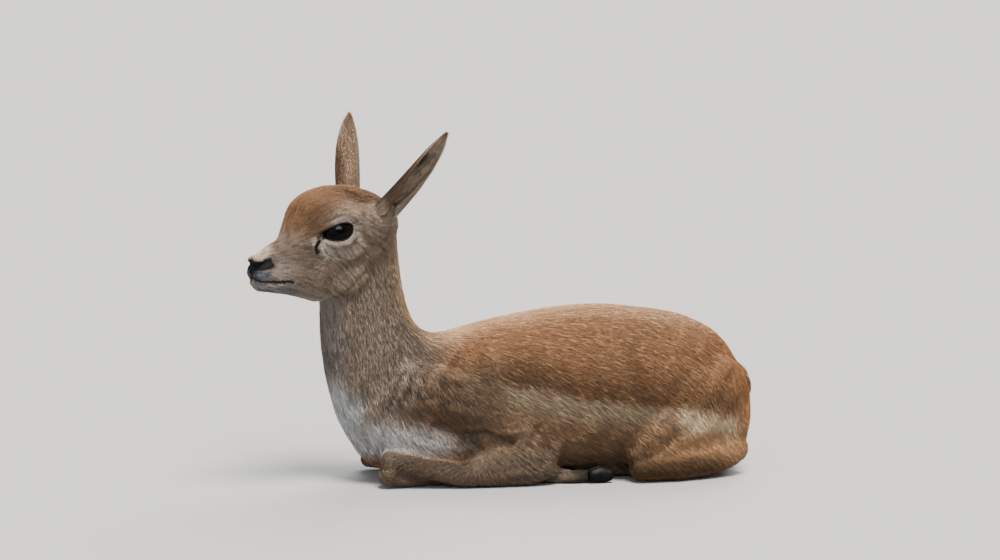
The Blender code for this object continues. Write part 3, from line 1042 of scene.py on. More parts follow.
TRUNK_COMBS = (
    Comb((-146, 0, 232), (0.1, 0.1, -1.0), 9),
    Comb((-141, 0, 195), (0.2, 0.1, -1.0), 11),
    Comb((-190, 36, 205), (0.1, 0.0, -1.0), 8),
    Comb((-192, 38, 160), (0.2, 0.1, -1.0), 9),
    Comb((-232, 0, 200), (0.1, 0.0, -1.0), 9),
    Comb((-232, 0, 130), (0.2, 0.0, -1.0), 12),
    Comb((-205, 30, 95), (0.3, 0.1, -0.9), 13),
    Comb((-205, 0, 50), (0.6, 0.0, -0.8), 15),
    Comb((-160, 50, 130), (0.25, 0.2, -1.0), 10),
    Comb((-112, 0, 160), (1.0, 0.0, 0.1), 12),
    Comb((-112, 30, 150), (0.8, 0.5, -0.5), 12),
    Comb((-128, 50, 110), (0.35, 0.2, -1.0), 11),
    Comb((-150, 55, 80), (0.5, 0.1, -0.85), 10),
    Comb((-100, 66, 78), (0.6, 0.1, -0.75), 9),
    Comb((-60, 74, 70), (0.75, 0.0, -0.65), 9),
    Comb((-70, 62, 120), (0.7, 0.2, -0.6), 12),
    Comb((-30, 70, 110), (0.8, 0.1, -0.55), 12),
    Comb((-40, 0, 176), (1.0, 0.0, 0.1), 11),
    Comb((-30, 40, 160), (0.9, 0.3, -0.3), 11),
    Comb((60, 0, 186), (1.0, 0.0, 0.0), 10),
    Comb((60, 45, 168), (0.95, 0.2, -0.25), 11),
    Comb((50, 74, 120), (0.85, 0.0, -0.5), 12),
    Comb((40, 77, 70), (0.8, 0.0, -0.6), 13),
    Comb((40, 74, 25), (0.8, -0.2, -0.5), 14),
    Comb((140, 0, 174), (1.0, 0.0, -0.25), 10),
    Comb((140, 50, 150), (0.85, 0.2, -0.5), 11),
    Comb((120, 76, 100), (0.75, 0.0, -0.65), 12),
    Comb((110, 80, 50), (0.75, 0.0, -0.65), 11),
    Comb((150, 80, 60), (0.55, 0.0, -0.85), 10),
    Comb((175, 76, 40), (0.5, 0.0, -0.85), 9),
    Comb((190, 68, 100), (0.5, 0.1, -0.85), 10),
    Comb((200, 0, 150), (0.75, 0.0, -0.65), 11),
    Comb((225, 20, 100), (0.2, -0.1, -1.0), 12),
    Comb((230, 20, 60), (0.0, -0.1, -1.0), 12),
    Comb((216, 55, 60), (0.2, 0.0, -1.0), 10),
)

HEAD_COMBS = (
    Comb((3, 0, 26), (1.0, 0.0, 0.6), 2.2),
    Comb((4, 10, 10), (0.8, 0.4, -0.3), 2.0),
    Comb((20, 0, 38), (1.0, 0.0, 0.5), 3.0),
    Comb((22, 18, 20), (1.0, 0.2, 0.1), 3.0),
    Comb((22, 18, 6), (1.0, 0.2, -0.2), 3.2),
    Comb((42, 0, 53), (1.0, 0.0, 0.7), 4.0),
    Comb((45, 24, 30), (1.0, 0.2, 0.1), 4.8),
    Comb((60, 0, 76), (0.8, 0.0, 0.9), 5.6),
    Comb((62, 20, 62), (0.9, 0.3, 0.8), 5.2),
    Comb((60, 27, 12), (1.0, 0.1, -0.35), 6.2),
    Comb((78, 34, 30), (0.8, 0.2, -0.6), 6.5),
    Comb((95, 40, 34), (0.7, 0.1, -0.8), 7.5),
    Comb((90, 36, 8), (0.75, 0.0, -0.7), 8.5),
    Comb((112, 36, 20), (0.6, 0.0, -0.85), 9.0),
    Comb((112, 34, -8), (0.7, 0.0, -0.75), 9.5),
    Comb((82, 36, 72), (0.5, 0.3, 0.8), 4.0),
    Comb((104, 38, 74), (0.9, 0.2, 0.5), 5.5),
    Comb((114, 42, 54), (1.0, 0.0, -0.2), 6.8),
    Comb((85, 0, 96), (1.0, 0.0, 0.35), 7.0),
    Comb((110, 0, 100), (1.0, 0.0, 0.0), 8.5),
    Comb((112, 22, 94), (0.9, 0.5, -0.1), 7.8),
    Comb((135, 0, 96), (1.0, 0.0, -0.4), 9.5),
    Comb((155, 0, 84), (0.7, 0.0, -0.8), 9.5),
    Comb((130, 38, 55), (0.8, 0.0, -0.6), 8.5),
    Comb((148, 40, 60), (0.5, 0.0, -0.9), 8.5),
    Comb((134, 40, 74), (0.3, 0.6, 0.8), 7.0),
    Comb((150, 34, 80), (0.2, 0.6, 0.7), 6.5),
    Comb((14, 0, -12), (1.0, 0.0, -0.2), 4.0),
    Comb((14, 12, -8), (1.0, 0.2, -0.1), 3.5),
    Comb((45, 0, -18), (1.0, 0.0, -0.1), 5.5),
    Comb((85, 0, -26), (1.0, 0.0, -0.2), 8.5),
    Comb((60, 24, -10), (1.0, 0.0, -0.3), 7.0),
)

LEG_WAYS = {
    "forearm": Comb((0, 0, 0), (-0.9, 0.0, -0.5), 8.0),
    "fore_cannon": Comb((0, 0, 0), (1.0, 0.0, -0.1), 4.5),
    "shank": Comb((0, 0, 0), (0.75, 0.0, -0.65), 9.0),
    "hind_cannon": Comb((0, 0, 0), (-1.0, 0.0, 0.0), 4.5),
}
TAIL_COMB = Comb((0, 0, 0), (0.35, 0.0, -1.0), 15.0)


@dataclass(frozen=True)
class Groom:
    """Combs the coat: gives each point of the skin its lie and length."""

    head: HeadFrame
    softness: float = 9.0
    clump: Noise = Noise(16.0, 3)
    waver: Noise = Noise(34.0, 5)
    elbow: tuple = (-50.0, -115.0)
    head_rounds: int = 16
    even_rounds: int = 8
    swings: tuple = (0.08, 0.09)
    length_varies: float = 0.12

    def comb(self, skin: Surface) -> None:
        """Fills in lie and length over the skin.

        Args:
            skin: The skin, whose lie and length are changed.
        """
        body = skin.node < len(FLESH)
        side = np.where(skin.points[:, 1] > 0, 1.0, -1.0)
        places = both_alike(skin.points)
        lie, length = self._blended(places, TRUNK_COMBS)
        lie[:, 1] *= side
        measures = self.head.measures(skin.points)
        left = np.where(measures[:, 1] > 0, 1.0, -1.0)
        head_lie, head_length = self._blended(both_alike(measures), HEAD_COMBS)
        head_lie[:, 1] *= left
        is_head = of_nodes(skin.node, "head").astype(float)
        smoother = skin.smoother
        share = smoother.even(is_head, self.head_rounds)[:, None]
        lie = lie * (1 - share) + (head_lie @ self.head.axes) * share
        length = length * (1 - share[:, 0]) + head_length * share[:, 0]
        for name in (*LOWER_LEGS, "tail"):
            comb = TAIL_COMB if name == "tail" else LEG_WAYS[name.split("_", 1)[1]]
            share = of_nodes(skin.node, name).astype(float)
            if "forearm" in name:
                share *= step_between(*self.elbow, skin.points[:, 0])
            lie += (np.array(comb.way) - lie) * share[:, None]
            length += (comb.length - length) * share
        lie = smoother.even(unit(lie), self.even_rounds)
        length = smoother.even(length, self.even_rounds)
        skin.lie[body] = lie[body]
        skin.length[body] = length[body]
        clumped, wavered = self.swings
        turn = clumped * self.clump.at(skin.points) + wavered * self.waver.at(skin.points)
        swung = skin.lie + np.cross(skin.normals, unit(skin.lie)) * turn[:, None]
        flat = swung - skin.normals * (swung * skin.normals).sum(axis=1)[:, None]
        skin.lie = unit(flat)
        skin.length *= 1 + self.length_varies * self.clump.at(skin.points + OTHER_PLACE)

    def _blended(self, places: Array, combs: tuple) -> tuple:
        """Mixes the combs' ways and lengths by nearness.

        Args:
            places: Places in the combs' measures.
            combs: The combs.

        Returns:
            A direction and a length for each place.
        """
        total = np.zeros((len(places), 5))
        for comb in combs:
            gap = ((places - np.array(comb.place)) ** 2).sum(axis=1) + self.softness**2
            weight = (1 / gap**2)[:, None]
            row = np.array([*unit(np.array(comb.way)), comb.length, 1.0])
            total += weight * row
        return total[:, :3] / total[:, 4:], total[:, 3] / total[:, 4]


# Colours are linear, as the shader takes them.
BACK_ORANGE = (0.466, 0.232, 0.104)
# Painted sheen: a paler tone that stands for top light on the back.
BACK_PAINTED_SHEEN = (0.860, 0.510, 0.290)
FLANK_DARK = (0.147, 0.073, 0.027)
FLANK_BAND = (0.382, 0.281, 0.176)
# The flank band's own cream, made paler still as a painted highlight where the thigh's top takes the light.
BAND_CREAM_AND_HIGHLIGHT = (0.930, 0.730, 0.480)
FLANK_LOW = (0.282, 0.161, 0.082)
BELLY = (0.50, 0.42, 0.34)
# Painted shadow: a dark brown laid on the skin lowest down, where it meets the floor.
FLOOR_SHADOW = (0.238, 0.109, 0.035)
THIGH_TAN = (0.685, 0.378, 0.188)
# Painted shadow on the lower thigh, near the floor.
THIGH_LOW_SHADOW = (0.080, 0.040, 0.013)
THIGH_SHADE = (0.150, 0.088, 0.045)
RUMP_ORANGE = (0.470, 0.200, 0.072)
SHOULDER_TAN = (0.170, 0.112, 0.068)
ARM_BROWN = (0.340, 0.212, 0.130)
# Dusky grey of the withers, also used as painted shade along the arm crease.
GREY_AND_CREASE_SHADE = (0.17, 0.115, 0.08)
# Dark streaks of the withers and crown, also used as painted shade on the lower forearms.
DARK_STREAK_AND_LEG_SHADE = (0.06, 0.042, 0.03)
# Painted shade for the hollow where the folded foreleg meets the upper arm.
HOLLOW_SHADE = (0.13, 0.105, 0.09)
NECK_GREY = (0.347, 0.259, 0.194)
NECK_FRONT = (0.308, 0.265, 0.243)
NAPE_TAN = (0.860, 0.600, 0.360)
CHEST_WHITE = (0.827, 0.815, 0.809)
BUTTOCK_CREAM = (0.60, 0.50, 0.40)
TAIL_BROWN = (0.36, 0.18, 0.08)
LEG_BROWN = (0.215, 0.150, 0.098)
LEG_INNER = (0.42, 0.32, 0.24)
# The pastern's own tan-grey, darkened by painted shade.
PASTERN_SHADE = (0.032, 0.027, 0.017)
HEAD_GREY = (0.350, 0.260, 0.192)
CROWN_ORANGE = (0.299, 0.147, 0.067)
FOREHEAD_GOLD = (0.121, 0.061, 0.024)
BROW_PALE = (0.50, 0.34, 0.22)
BRIDGE_PALE = (0.210, 0.135, 0.092)
# The pale fur of the nose's top, with a painted highlight from above.
NOSE_CREAM_AND_HIGHLIGHT = (0.646, 0.501, 0.392)
MUZZLE_BROWN = (0.105, 0.070, 0.050)
MUZZLE_PALE = (0.36, 0.29, 0.24)
# The upper lip's grey, with a painted blue-grey highlight.
LIP_GREY_AND_HIGHLIGHT = (0.156, 0.152, 0.185)
# White chin hair, darkened by painted shade under the jaw.
CHIN_WHITE_SHADED = (0.305, 0.298, 0.286)
JAW_GREY = (0.515, 0.433, 0.360)
EYE_RING = (0.466, 0.376, 0.300)
RING_CREAM = (0.72, 0.62, 0.50)
LID_PALE = (0.266, 0.220, 0.192)
# The black of bare skin, also used as painted shadow in the hollow under the belly.
BLACK_SKIN_AND_SHADOW = (0.012, 0.011, 0.011)
EAR_TAN = (0.640, 0.430, 0.280)
EAR_BASE = (0.34, 0.20, 0.11)
EAR_BAND = (0.240, 0.120, 0.055)
# The pale-brown hair inside the ear, made paler still as painted light in the shaded cup.
EAR_INNER_PAINTED_LIGHT = (0.860, 0.660, 0.480)
EAR_CREAM = (0.850, 0.680, 0.500)
# Painted light: a cream far paler than the root's own grey-beige, for a base that lies in shade.
EAR_ROOT_PAINTED_LIGHT = (0.860, 0.680, 0.500)
EAR_TIP = (0.27, 0.12, 0.06)
# Near-black streaks and a spot inside the ear.
EAR_NEAR_BLACK = (0.012, 0.010, 0.009)
EYE_PUPIL = (0.0006, 0.0006, 0.0008)
EYE_IRIS = (0.0035, 0.0022, 0.0018)
EYE_WHITE = (0.006, 0.0045, 0.004)

FLANK_LINE = (
    (-60, 108), (-48, 111), (-32, 107), (4, 99), (34, 94), (50, 92), (109, 86), (149, 74), (193, 71)
)


@dataclass(frozen=True)
class Patch:
    """A patch of colour: its middle, reach each way, colour, strength and softness of edge."""

    centre: tuple
    radii: tuple
    colour: tuple
    strength: float = 1.0
    softness: float = 0.35


@dataclass(frozen=True)
class Streak:
    """A line of colour: its course, its half width, its colour and its strength."""

    course: tuple
    half_width: float
    colour: tuple
    strength: float = 1.0


UNDER_PATCHES = (
    Patch((-180, 0, 112), (72, 86, 80), NECK_GREY, 1.0, 0.22),
    Patch((-70, 62, 92), (74, 44, 44), SHOULDER_TAN, 0.9, 0.4),
    Patch((-200, 0, 190), (84, 90, 92), NECK_GREY, 1.0, 0.25),
    Patch((-236, 0, 165), (24, 60, 70), NECK_FRONT, 0.75, 0.5),
    Patch((-112, 36, 138), (22, 26, 15), GREY_AND_CREASE_SHADE, 0.35, 0.7),
    Patch((-222, 0, 74), (36, 46, 44), CHEST_WHITE, 1.0, 0.35),
    Patch((-168, 36, 52), (60, 50, 17), CHEST_WHITE, 0.85, 0.5),
    Patch((-120, 52, 44), (40, 24, 11), CHEST_WHITE, 0.5, 0.6),
)

OVER_PATCHES = (
    Patch((222, 0, 112), (28, 66, 70), RUMP_ORANGE, 0.85, 0.5),
    Patch((-48, 70, 44), (52, 30, 30), ARM_BROWN, 0.85, 0.4),
    # Painted shade in the hollow under the upper arm.
    Patch((-86, 66, 50), (11, 24, 13), HOLLOW_SHADE, 0.85, 0.8),
    Patch((160, 82, 40), (58, 44, 38), THIGH_TAN, 0.9, 0.3),
    Patch((212, 50, 40), (34, 40, 40), THIGH_TAN, 0.6, 0.5),
    # Painted shadow on the lower thigh.
    Patch((140, 88, 14), (70, 40, 17), THIGH_LOW_SHADOW, 0.9, 0.5),
    # Painted shadow in the hollow under the belly, between the fore and hind legs.
    Patch((46, 80, 24), (14, 22, 12), BLACK_SKIN_AND_SHADOW, 0.75, 0.5),
    Patch((236, 0, 50), (16, 24, 46), BUTTOCK_CREAM, 0.95, 0.4),
    Patch((40, 0, 0), (190, 52, 14), BELLY, 0.8, 0.4),
)

BODY_STREAKS = (
    Streak(((-150, 0, 300), (-146, 0, 244), (-143, 0, 210), (-136, 0, 180)), 15.0, NAPE_TAN, 0.9),
    Streak(((-140, 0, 205), (-134, 8, 184), (-120, 12, 164), (-98, 14, 160)), 13.0, NAPE_TAN, 0.6),
    Streak(((-136, 44, 128), (-150, 50, 108), (-160, 52, 92)), 2.2, DARK_STREAK_AND_LEG_SHADE, 0.9),
    Streak(((-124, 46, 132), (-136, 54, 112), (-140, 56, 100)), 1.8, DARK_STREAK_AND_LEG_SHADE, 0.8),
    Streak(((-112, 50, 128), (-118, 58, 108), (-116, 62, 96)), 2.2, DARK_STREAK_AND_LEG_SHADE, 0.9),
    Streak(((-150, 44, 124), (-160, 46, 108)), 1.6, DARK_STREAK_AND_LEG_SHADE, 0.8),
    Streak(((-166, 46, 104), (-172, 46, 90)), 2.0, DARK_STREAK_AND_LEG_SHADE, 0.8),
    Streak(((-100, 60, 112), (-104, 64, 98)), 1.6, DARK_STREAK_AND_LEG_SHADE, 0.7),
    # Painted shade along the crease under the upper arm.
    Streak(((-122, 62, 68), (-96, 68, 60), (-70, 71, 59), (-41, 75, 50)), 5.0, GREY_AND_CREASE_SHADE, 0.6),
    Streak(((135, 80, 61), (109, 80, 45), (87, 78, 25)), 11.0, THIGH_SHADE, 0.85),
    Streak(((205, 35, 118), (221, 26, 103), (234, 16, 84)), 2.6, THIGH_SHADE, 0.9),
    # Painted highlight along the top of the thigh, over the pale band.
    Streak(((146, 79, 70), (160, 79, 67), (176, 77, 66), (190, 73, 63), (202, 68, 55)), 8.0, BAND_CREAM_AND_HIGHLIGHT),
)

# Painted shade along the lower forearms, near the floor.
LEG_SHADE_STREAKS = (
    Streak(((-156, 60, 30), (-124, 66, 25), (-90, 70, 17)), 8.0, DARK_STREAK_AND_LEG_SHADE, 0.5),
    Streak(((-148, 62, 12), (-118, 68, 9), (-84, 72, 7)), 4.0, DARK_STREAK_AND_LEG_SHADE, 0.4),
)

HEAD_PATCHES = (
    Patch((100, 0, 104), (66, 36, 34), CROWN_ORANGE, 1.0, 0.35),
    Patch((60, 0, 78), (26, 34, 36), CROWN_ORANGE, 0.9, 0.4),
    Patch((52, 0, 60), (20, 32, 19), FOREHEAD_GOLD, 0.7, 0.5),
    Patch((64, 28, 56), (14, 14, 24), FOREHEAD_GOLD, 0.85, 0.6),
    Patch((72, 32, 76), (20, 12, 8), FOREHEAD_GOLD, 0.6, 0.7),
    Patch((112, 32, 82), (18, 16, 8), BROW_PALE, 0.8, 0.6),
    Patch((27, 0, 41), (21, 20, 13), BRIDGE_PALE, 0.9, 0.45),
    # Pale nose top with a painted highlight.
    Patch((9, 0, 29), (15, 15, 9), NOSE_CREAM_AND_HIGHLIGHT, 0.95, 0.4),
    Patch((36, 22, 26), (26, 14, 13), MUZZLE_BROWN, 0.55, 0.6),
    Patch((54, 26, 34), (14, 14, 16), MUZZLE_BROWN, 0.45, 0.6),
    Patch((26, 19, 13), (16, 12, 10), MUZZLE_PALE, 0.6, 0.6),
    # Grey upper lip with a painted blue-grey highlight.
    Patch((5, 8, 7), (15, 13, 7.5), LIP_GREY_AND_HIGHLIGHT, 1.0, 0.3),
    # White chin with painted shade under the jaw.
    Patch((20, 0, -12), (34, 30, 11), CHIN_WHITE_SHADED, 0.95, 0.35),
    Patch((74, 0, -26), (54, 34, 14), JAW_GREY, 0.8, 0.5),
)

HEAD_STREAKS = (
    Streak(((98, 12, 101), (106, 18, 98)), 1.5, DARK_STREAK_AND_LEG_SHADE, 0.8),
    Streak(((104, 12, 101), (113, 19, 97)), 1.5, DARK_STREAK_AND_LEG_SHADE, 0.8),
    Streak(((110, 16, 99), (119, 23, 93)), 1.6, DARK_STREAK_AND_LEG_SHADE, 0.8),
    Streak(((100, 20, 98), (108, 25, 93)), 1.4, DARK_STREAK_AND_LEG_SHADE, 0.7),
    Streak(((112, 24, 93), (121, 29, 87)), 1.5, DARK_STREAK_AND_LEG_SHADE, 0.7),
    Streak(((118, 42, 64), (122, 43, 60)), 3.0, GREY_AND_CREASE_SHADE, 0.5),
    Streak(((122, 30, -8), (128, 32, 6), (132, 34, 22)), 4.0, GREY_AND_CREASE_SHADE, 0.55),
    Streak(((60, 30, 42), (58, 29, 36), (60, 29, 28)), 5.0, MUZZLE_BROWN, 0.6),
)

BARE_STREAKS = (
    Streak(((-1, 0, 0), (3, 8, 0), (9, 14, 0), (20, 19, -1), (32, 21, -1.5), (40, 23, -2)), 1.2, BLACK_SKIN_AND_SHADOW),
    Streak(((0, 3, 17), (3, 8, 16.5), (8, 13, 18.5), (14, 16, 22.5)), 3.4, BLACK_SKIN_AND_SHADOW, 1.0),
    Streak(((0, 4, 14), (5, 10, 14), (10, 14, 15.5), (17, 17, 18)), 3.4, BLACK_SKIN_AND_SHADOW, 1.0),
    Streak(((-2, 0, 20), (-2, 0, 8)), 4.0, BLACK_SKIN_AND_SHADOW, 1.0),
    Streak(((66, 30, 45), (62.5, 29, 38), (64, 29, 31)), 2.5, BLACK_SKIN_AND_SHADOW, 1.0),
)

BARE_PATCHES = (
    Patch((8, 10, 16.5), (15, 9, 5.0), BLACK_SKIN_AND_SHADOW, 1.0, 0.2),
    Patch((-2, 0, 15), (6, 10, 8), BLACK_SKIN_AND_SHADOW, 1.0, 0.3),
)

PALE_STREAKS = (
    Streak(((72, 33, 43), (69, 32, 36), (72, 32, 29)), 3.6, RING_CREAM, 0.9),
    Streak(((58, 29, 45), (57, 28, 40)), 2.6, RING_CREAM, 0.6),
    Streak(((75, 33, 28), (86, 35, 25.5), (99, 37, 30), (112, 39, 41)), 3.4, RING_CREAM, 0.6),
    Streak(((24, 17, 26), (18, 15, 29)), 3.0, BRIDGE_PALE, 0.7),
)


WARP = Noise(11.0, 7)
MOTTLE = Noise(3.2, 9)
LEG_SHARES = {"forearm": 0.95, "shank": 0.0, "fore_cannon": 1.0, "hind_cannon": 1.0}


def mix_in(colour: Array, wanted: tuple | Array, weight: Array) -> None:
    """Mixes a colour into the colours so far, at each point by its weight."""
    share = np.clip(weight, 0, 1)[:, None]
    colour += (np.asarray(wanted) - colour) * share


@dataclass(frozen=True)
class Flank:
    """The line along the flank, which parts the orange back from the pale band and the brown below it."""

    ruffle: float = 1.1
    starts: tuple = (-66.0, -34.0)
    ends: tuple = (216.0, 198.0)
    aside: tuple = (26.0, 42.0)
    # Towards the rear the band takes a painted highlight on the thigh's top.
    brightens: tuple = (118.0, 186.0)
    bright: float = 0.7
    lower: tuple = (-9.0, -36.0)
    dark_fades: tuple = (58.0, 4.0)
    dark_edge: tuple = (-1.5, 2.0)
    dark: float = 0.9
    edge: tuple = (1.8, -1.8)

    def paint(self, colour: Array, places: Array, skin: Surface) -> None:
        """Paints both flanks.

        Args:
            colour: The colours so far, which are changed.
            places: Each point with both sides alike.
            skin: The skin.
        """
        x, aside, z = places.T
        line = np.array(FLANK_LINE)
        above = z - np.interp(x, line[:, 0], line[:, 1]) + self.ruffle * WARP.at(skin.points)
        reach = step_between(*self.starts, x) * step_between(*self.ends, x)
        # The band's own pale colour, with a painted highlight that grows towards the thigh's top at the
        # rear.
        reach *= step_between(*self.aside, aside)
        rearward = self.bright * step_between(*self.brightens, x)[:, None]
        band = np.array(FLANK_BAND) * (1 - rearward) + np.array(BAND_CREAM_AND_HIGHLIGHT) * rearward
        lower = step_between(*self.lower, above)[:, None]
        dark = step_between(*self.dark_fades, above) * step_between(*self.dark_edge, above)
        mix_in(colour, FLANK_DARK, self.dark * reach * dark)
        band = band * (1 - lower) + np.array(FLANK_LOW) * lower
        mix_in(colour, band, reach * step_between(*self.edge, above))


@dataclass(frozen=True)
class Legs:
    """The brown of the lower legs, with painted shade darkest over the hooves, and of the tail."""

    rounds: int = 10
    inner: float = 0.6
    inner_faces: tuple = (0.2, 0.9)
    fore_darkens: tuple = (14.0, 34.0)
    fore_ends: float = 60.0
    hind_darkens: tuple = (66.0, 44.0)

    def paint(self, colour: Array, places: Array, skin: Surface) -> None:
        """Paints the legs and the tail.

        Args:
            colour: The colours so far, which are changed.
            places: Each point with both sides alike.
            skin: The skin.
        """
        legs = np.zeros(len(places))
        for name in LOWER_LEGS:
            legs[of_nodes(skin.node, name)] = LEG_SHARES[name.split("_", 1)[1]]
        legs = skin.smoother.even(legs, self.rounds)
        inward = -np.sign(skin.points[:, 1]) * skin.normals[:, 1]
        mix_in(colour, LEG_BROWN, legs)
        mix_in(colour, LEG_INNER, self.inner * legs * step_between(*self.inner_faces, inward))
        x = places[:, 0]
        fore = step_between(*self.fore_darkens, x) * (x < self.fore_ends)
        hind = step_between(*self.hind_darkens, x)
        # Painted shade: the cannons darken towards the hooves.
        for part, low in (("fore_cannon", fore), ("hind_cannon", hind)):
            cannons = of_nodes(skin.node, *(name for name in LOWER_LEGS if part in name))
            mix_in(colour, PASTERN_SHADE, cannons * low)
        mix_in(colour, TAIL_BROWN, of_nodes(skin.node, "tail").astype(float))


@dataclass(frozen=True)
class EyeRing:
    """The ring of pale hair round an eye, and the dark edge of its lids."""

    head: HeadFrame
    lids: Lids
    reach: tuple = (42.0, -4.0)
    fades: tuple = (16.5, 10.5)
    narrows: float = 0.6
    narrows_at: tuple = (-4.0, 18.0)
    ruffle: float = 1.5
    below: tuple = (3.0, -6.0)
    behind: tuple = (8.0, 20.0)
    behind_up: tuple = (14.0, 2.0)
    ring: float = 0.95
    fold: tuple = (3.2, 2.2)
    fold_back: tuple = (-12.0, 0.0)
    fold_up: tuple = (2.0, 6.0)
    pale: float = 0.9
    corner: tuple = (1.8, 2.2, 2.6)
    edge: tuple = (1.3, 0.5)

    def paint(self, face: Array, skin: Surface, on_head: Array, side: Side) -> None:
        """Paints one side's ring.

        Args:
            face: The head's colours, which are changed.
            skin: The skin, whose bareness is changed.
            on_head: The numbers of the head's points.
            side: The eye's side.
        """
        centre = self.head.place(HeadFrame.EYE_PLACE, side)
        local = (skin.points[on_head] - centre) @ self.lids.axes(self.head, side).T
        away, front = self.reach
        near = np.flatnonzero((np.linalg.norm(local, axis=1) < away) & (local[:, 2] > front))
        spot = local[near]
        outside = self.lids.outside(spot)
        back, up, _ = spot.T
        behind = step_between(*self.behind, back) * step_between(*self.behind_up, up)
        under = step_between(*self.below, up) + behind
        narrow = 1 + self.narrows * step_between(*self.narrows_at, back)
        ruffle = self.ruffle * WARP.at(skin.points[on_head][near])
        ring = step_between(*self.fades, outside * narrow + ruffle)
        middle, half_width = self.fold
        over = hump(outside - middle, half_width)
        over = over * step_between(*self.fold_back, back) * step_between(*self.fold_up, up)
        edge = step_between(*self.edge, outside)
        ahead, below, width = self.corner
        tear = (-self.lids.half_length - ahead, self.lids.corner - below)
        bare = np.maximum(edge, hump(np.linalg.norm(spot[:, :2] - tear, axis=1), width))
        chosen = face[near]
        mix_in(chosen, EYE_RING, self.ring * ring * np.clip(under, 0, 1))
        mix_in(chosen, LID_PALE, self.pale * over)
        mix_in(chosen, BLACK_SKIN_AND_SHADOW, bare)
        face[near] = chosen
        rows = on_head[near]
        skin.bare[rows] = np.maximum(skin.bare[rows], bare > BARE_FROM)


@dataclass(frozen=True)
class Ears:
    """The ears' colours: pale backs, a brown band up the front, and dark streaks and pale hair inside, with
    painted light at the root and in the shaded cup.

    A pair of numbers says where a colour comes in: along the ear from 0 at its root to 1, or round it from
    -1 to 1.
    """

    ruffle: float = 0.06
    rim: tuple = (0.72, 1.0)
    base: tuple = (0.42, 0.20)
    base_share: float = 0.4
    cream: tuple = (0.10, 0.55)
    cream_share: float = 0.85
    cream_rim: float = 0.5
    front: tuple = (-0.15, -0.5)
    front_rim: float = 0.2
    front_ends: tuple = (0.80, 0.5)
    band_share: float = 0.9
    tip: tuple = (0.88, 1.0)
    tip_shares: tuple = (0.7, 0.6)
    # Painted light at the ear's root fades in below these places along it.
    root: tuple = (0.26, 0.12)
    root_share: float = 0.9
    grain: tuple = (1.0, 1.0, 0.35)
    broken: float = 1.4
    waves: tuple = (34.0, 5.0, 1.6)
    streaks: tuple = (0.1, 0.9)
    streaks_start: tuple = (0.42, 0.58)
    streaks_end: tuple = (0.90, 0.76)
    streaks_round: tuple = (0.6, 0.35)
    streak_share: float = 0.75
    stain: tuple = (0.66, -0.2)
    stain_size: tuple = (10.0, 3.5)
    inner_cream: tuple = (0.30, 0.65)
    inner_front: tuple = (0.0, -0.6)
    inner_ends: tuple = (0.85, 0.6)

    def paint(self, colour: Array, skin: Surface) -> None:
        """Paints both ears.

        Args:
            colour: The colours so far, which are changed.
            skin: The skin.
        """
        rows = np.flatnonzero(skin.along_ear >= 0)
        along, turn = skin.along_ear[rows], skin.round_ear[rows]
        places, share = skin.points[rows], skin.in_ear[rows][:, None]
        ruffle = self.ruffle * WARP.at(places)
        back, inner = self._back(along, turn, ruffle), self._inner(places, along, turn, ruffle)
        colour[rows] = back * (1 - share) + inner * share

    def _back(self, along: Array, turn: Array, ruffle: Array) -> Array:
        """The colours of the ears' backs.

        Args:
            along: How far along the ear each point is.
            turn: How far round it.
            ruffle: What ruffles the colours' edges.

        Returns:
            A colour for each point.
        """
        ear = np.tile(np.array(EAR_TAN), (len(along), 1))
        rim = step_between(*self.rim, np.abs(turn))
        mix_in(ear, EAR_BASE, self.base_share * step_between(*self.base, along + ruffle))
        cream = self.cream_share * step_between(*self.cream, turn + ruffle)
        mix_in(ear, EAR_CREAM, cream * (1 - self.cream_rim * rim))
        front = step_between(*self.front, turn + ruffle) * (1 - self.front_rim * rim)
        front *= step_between(*self.front_ends, along)
        mix_in(ear, EAR_BAND, self.band_share * front)
        mix_in(ear, EAR_TIP, self.tip_shares[0] * step_between(*self.tip, along))
        # Painted light at the ear's root.
        mix_in(ear, EAR_ROOT_PAINTED_LIGHT, self.root_share * step_between(*self.root, along + ruffle))
        return ear

    def _inner(self, places: Array, along: Array, turn: Array, ruffle: Array) -> Array:
        """The colours inside the ears.

        Args:
            places: The points.
            along: How far along the ear each point is.
            turn: How far round it.
            ruffle: What ruffles the colours' edges.

        Returns:
            A colour for each point.
        """
        # The inside starts from its pale-brown hair, with painted light over the shaded cup.
        inner = np.tile(np.array(EAR_INNER_PAINTED_LIGHT), (len(along), 1))
        broken = self.broken * MOTTLE.at(places * self.grain)
        across, up, loose = self.waves
        dark = step_between(*self.streaks, np.sin(turn * across + up * along + loose * broken))
        inward = step_between(*self.streaks_round, np.abs(turn))
        dark *= step_between(*self.streaks_start, along) * step_between(*self.streaks_end, along) * inward
        # Near-black streaks, then a near-black spot, inside the ear.
        mix_in(inner, EAR_NEAR_BLACK, self.streak_share * dark)
        (high, aside), (tall, wide) = self.stain, self.stain_size
        mix_in(inner, EAR_NEAR_BLACK, hump(np.hypot((along - high) * tall, (turn - aside) * wide), 1.0))
        mix_in(inner, EAR_CREAM, self.band_share * step_between(*self.inner_cream, turn + ruffle))
        front = step_between(*self.inner_front, turn + ruffle) * step_between(*self.inner_ends, along)
        mix_in(inner, EAR_BAND, self.band_share * front)
        mix_in(inner, EAR_TIP, self.tip_shares[1] * step_between(*self.tip, along))
        return inner


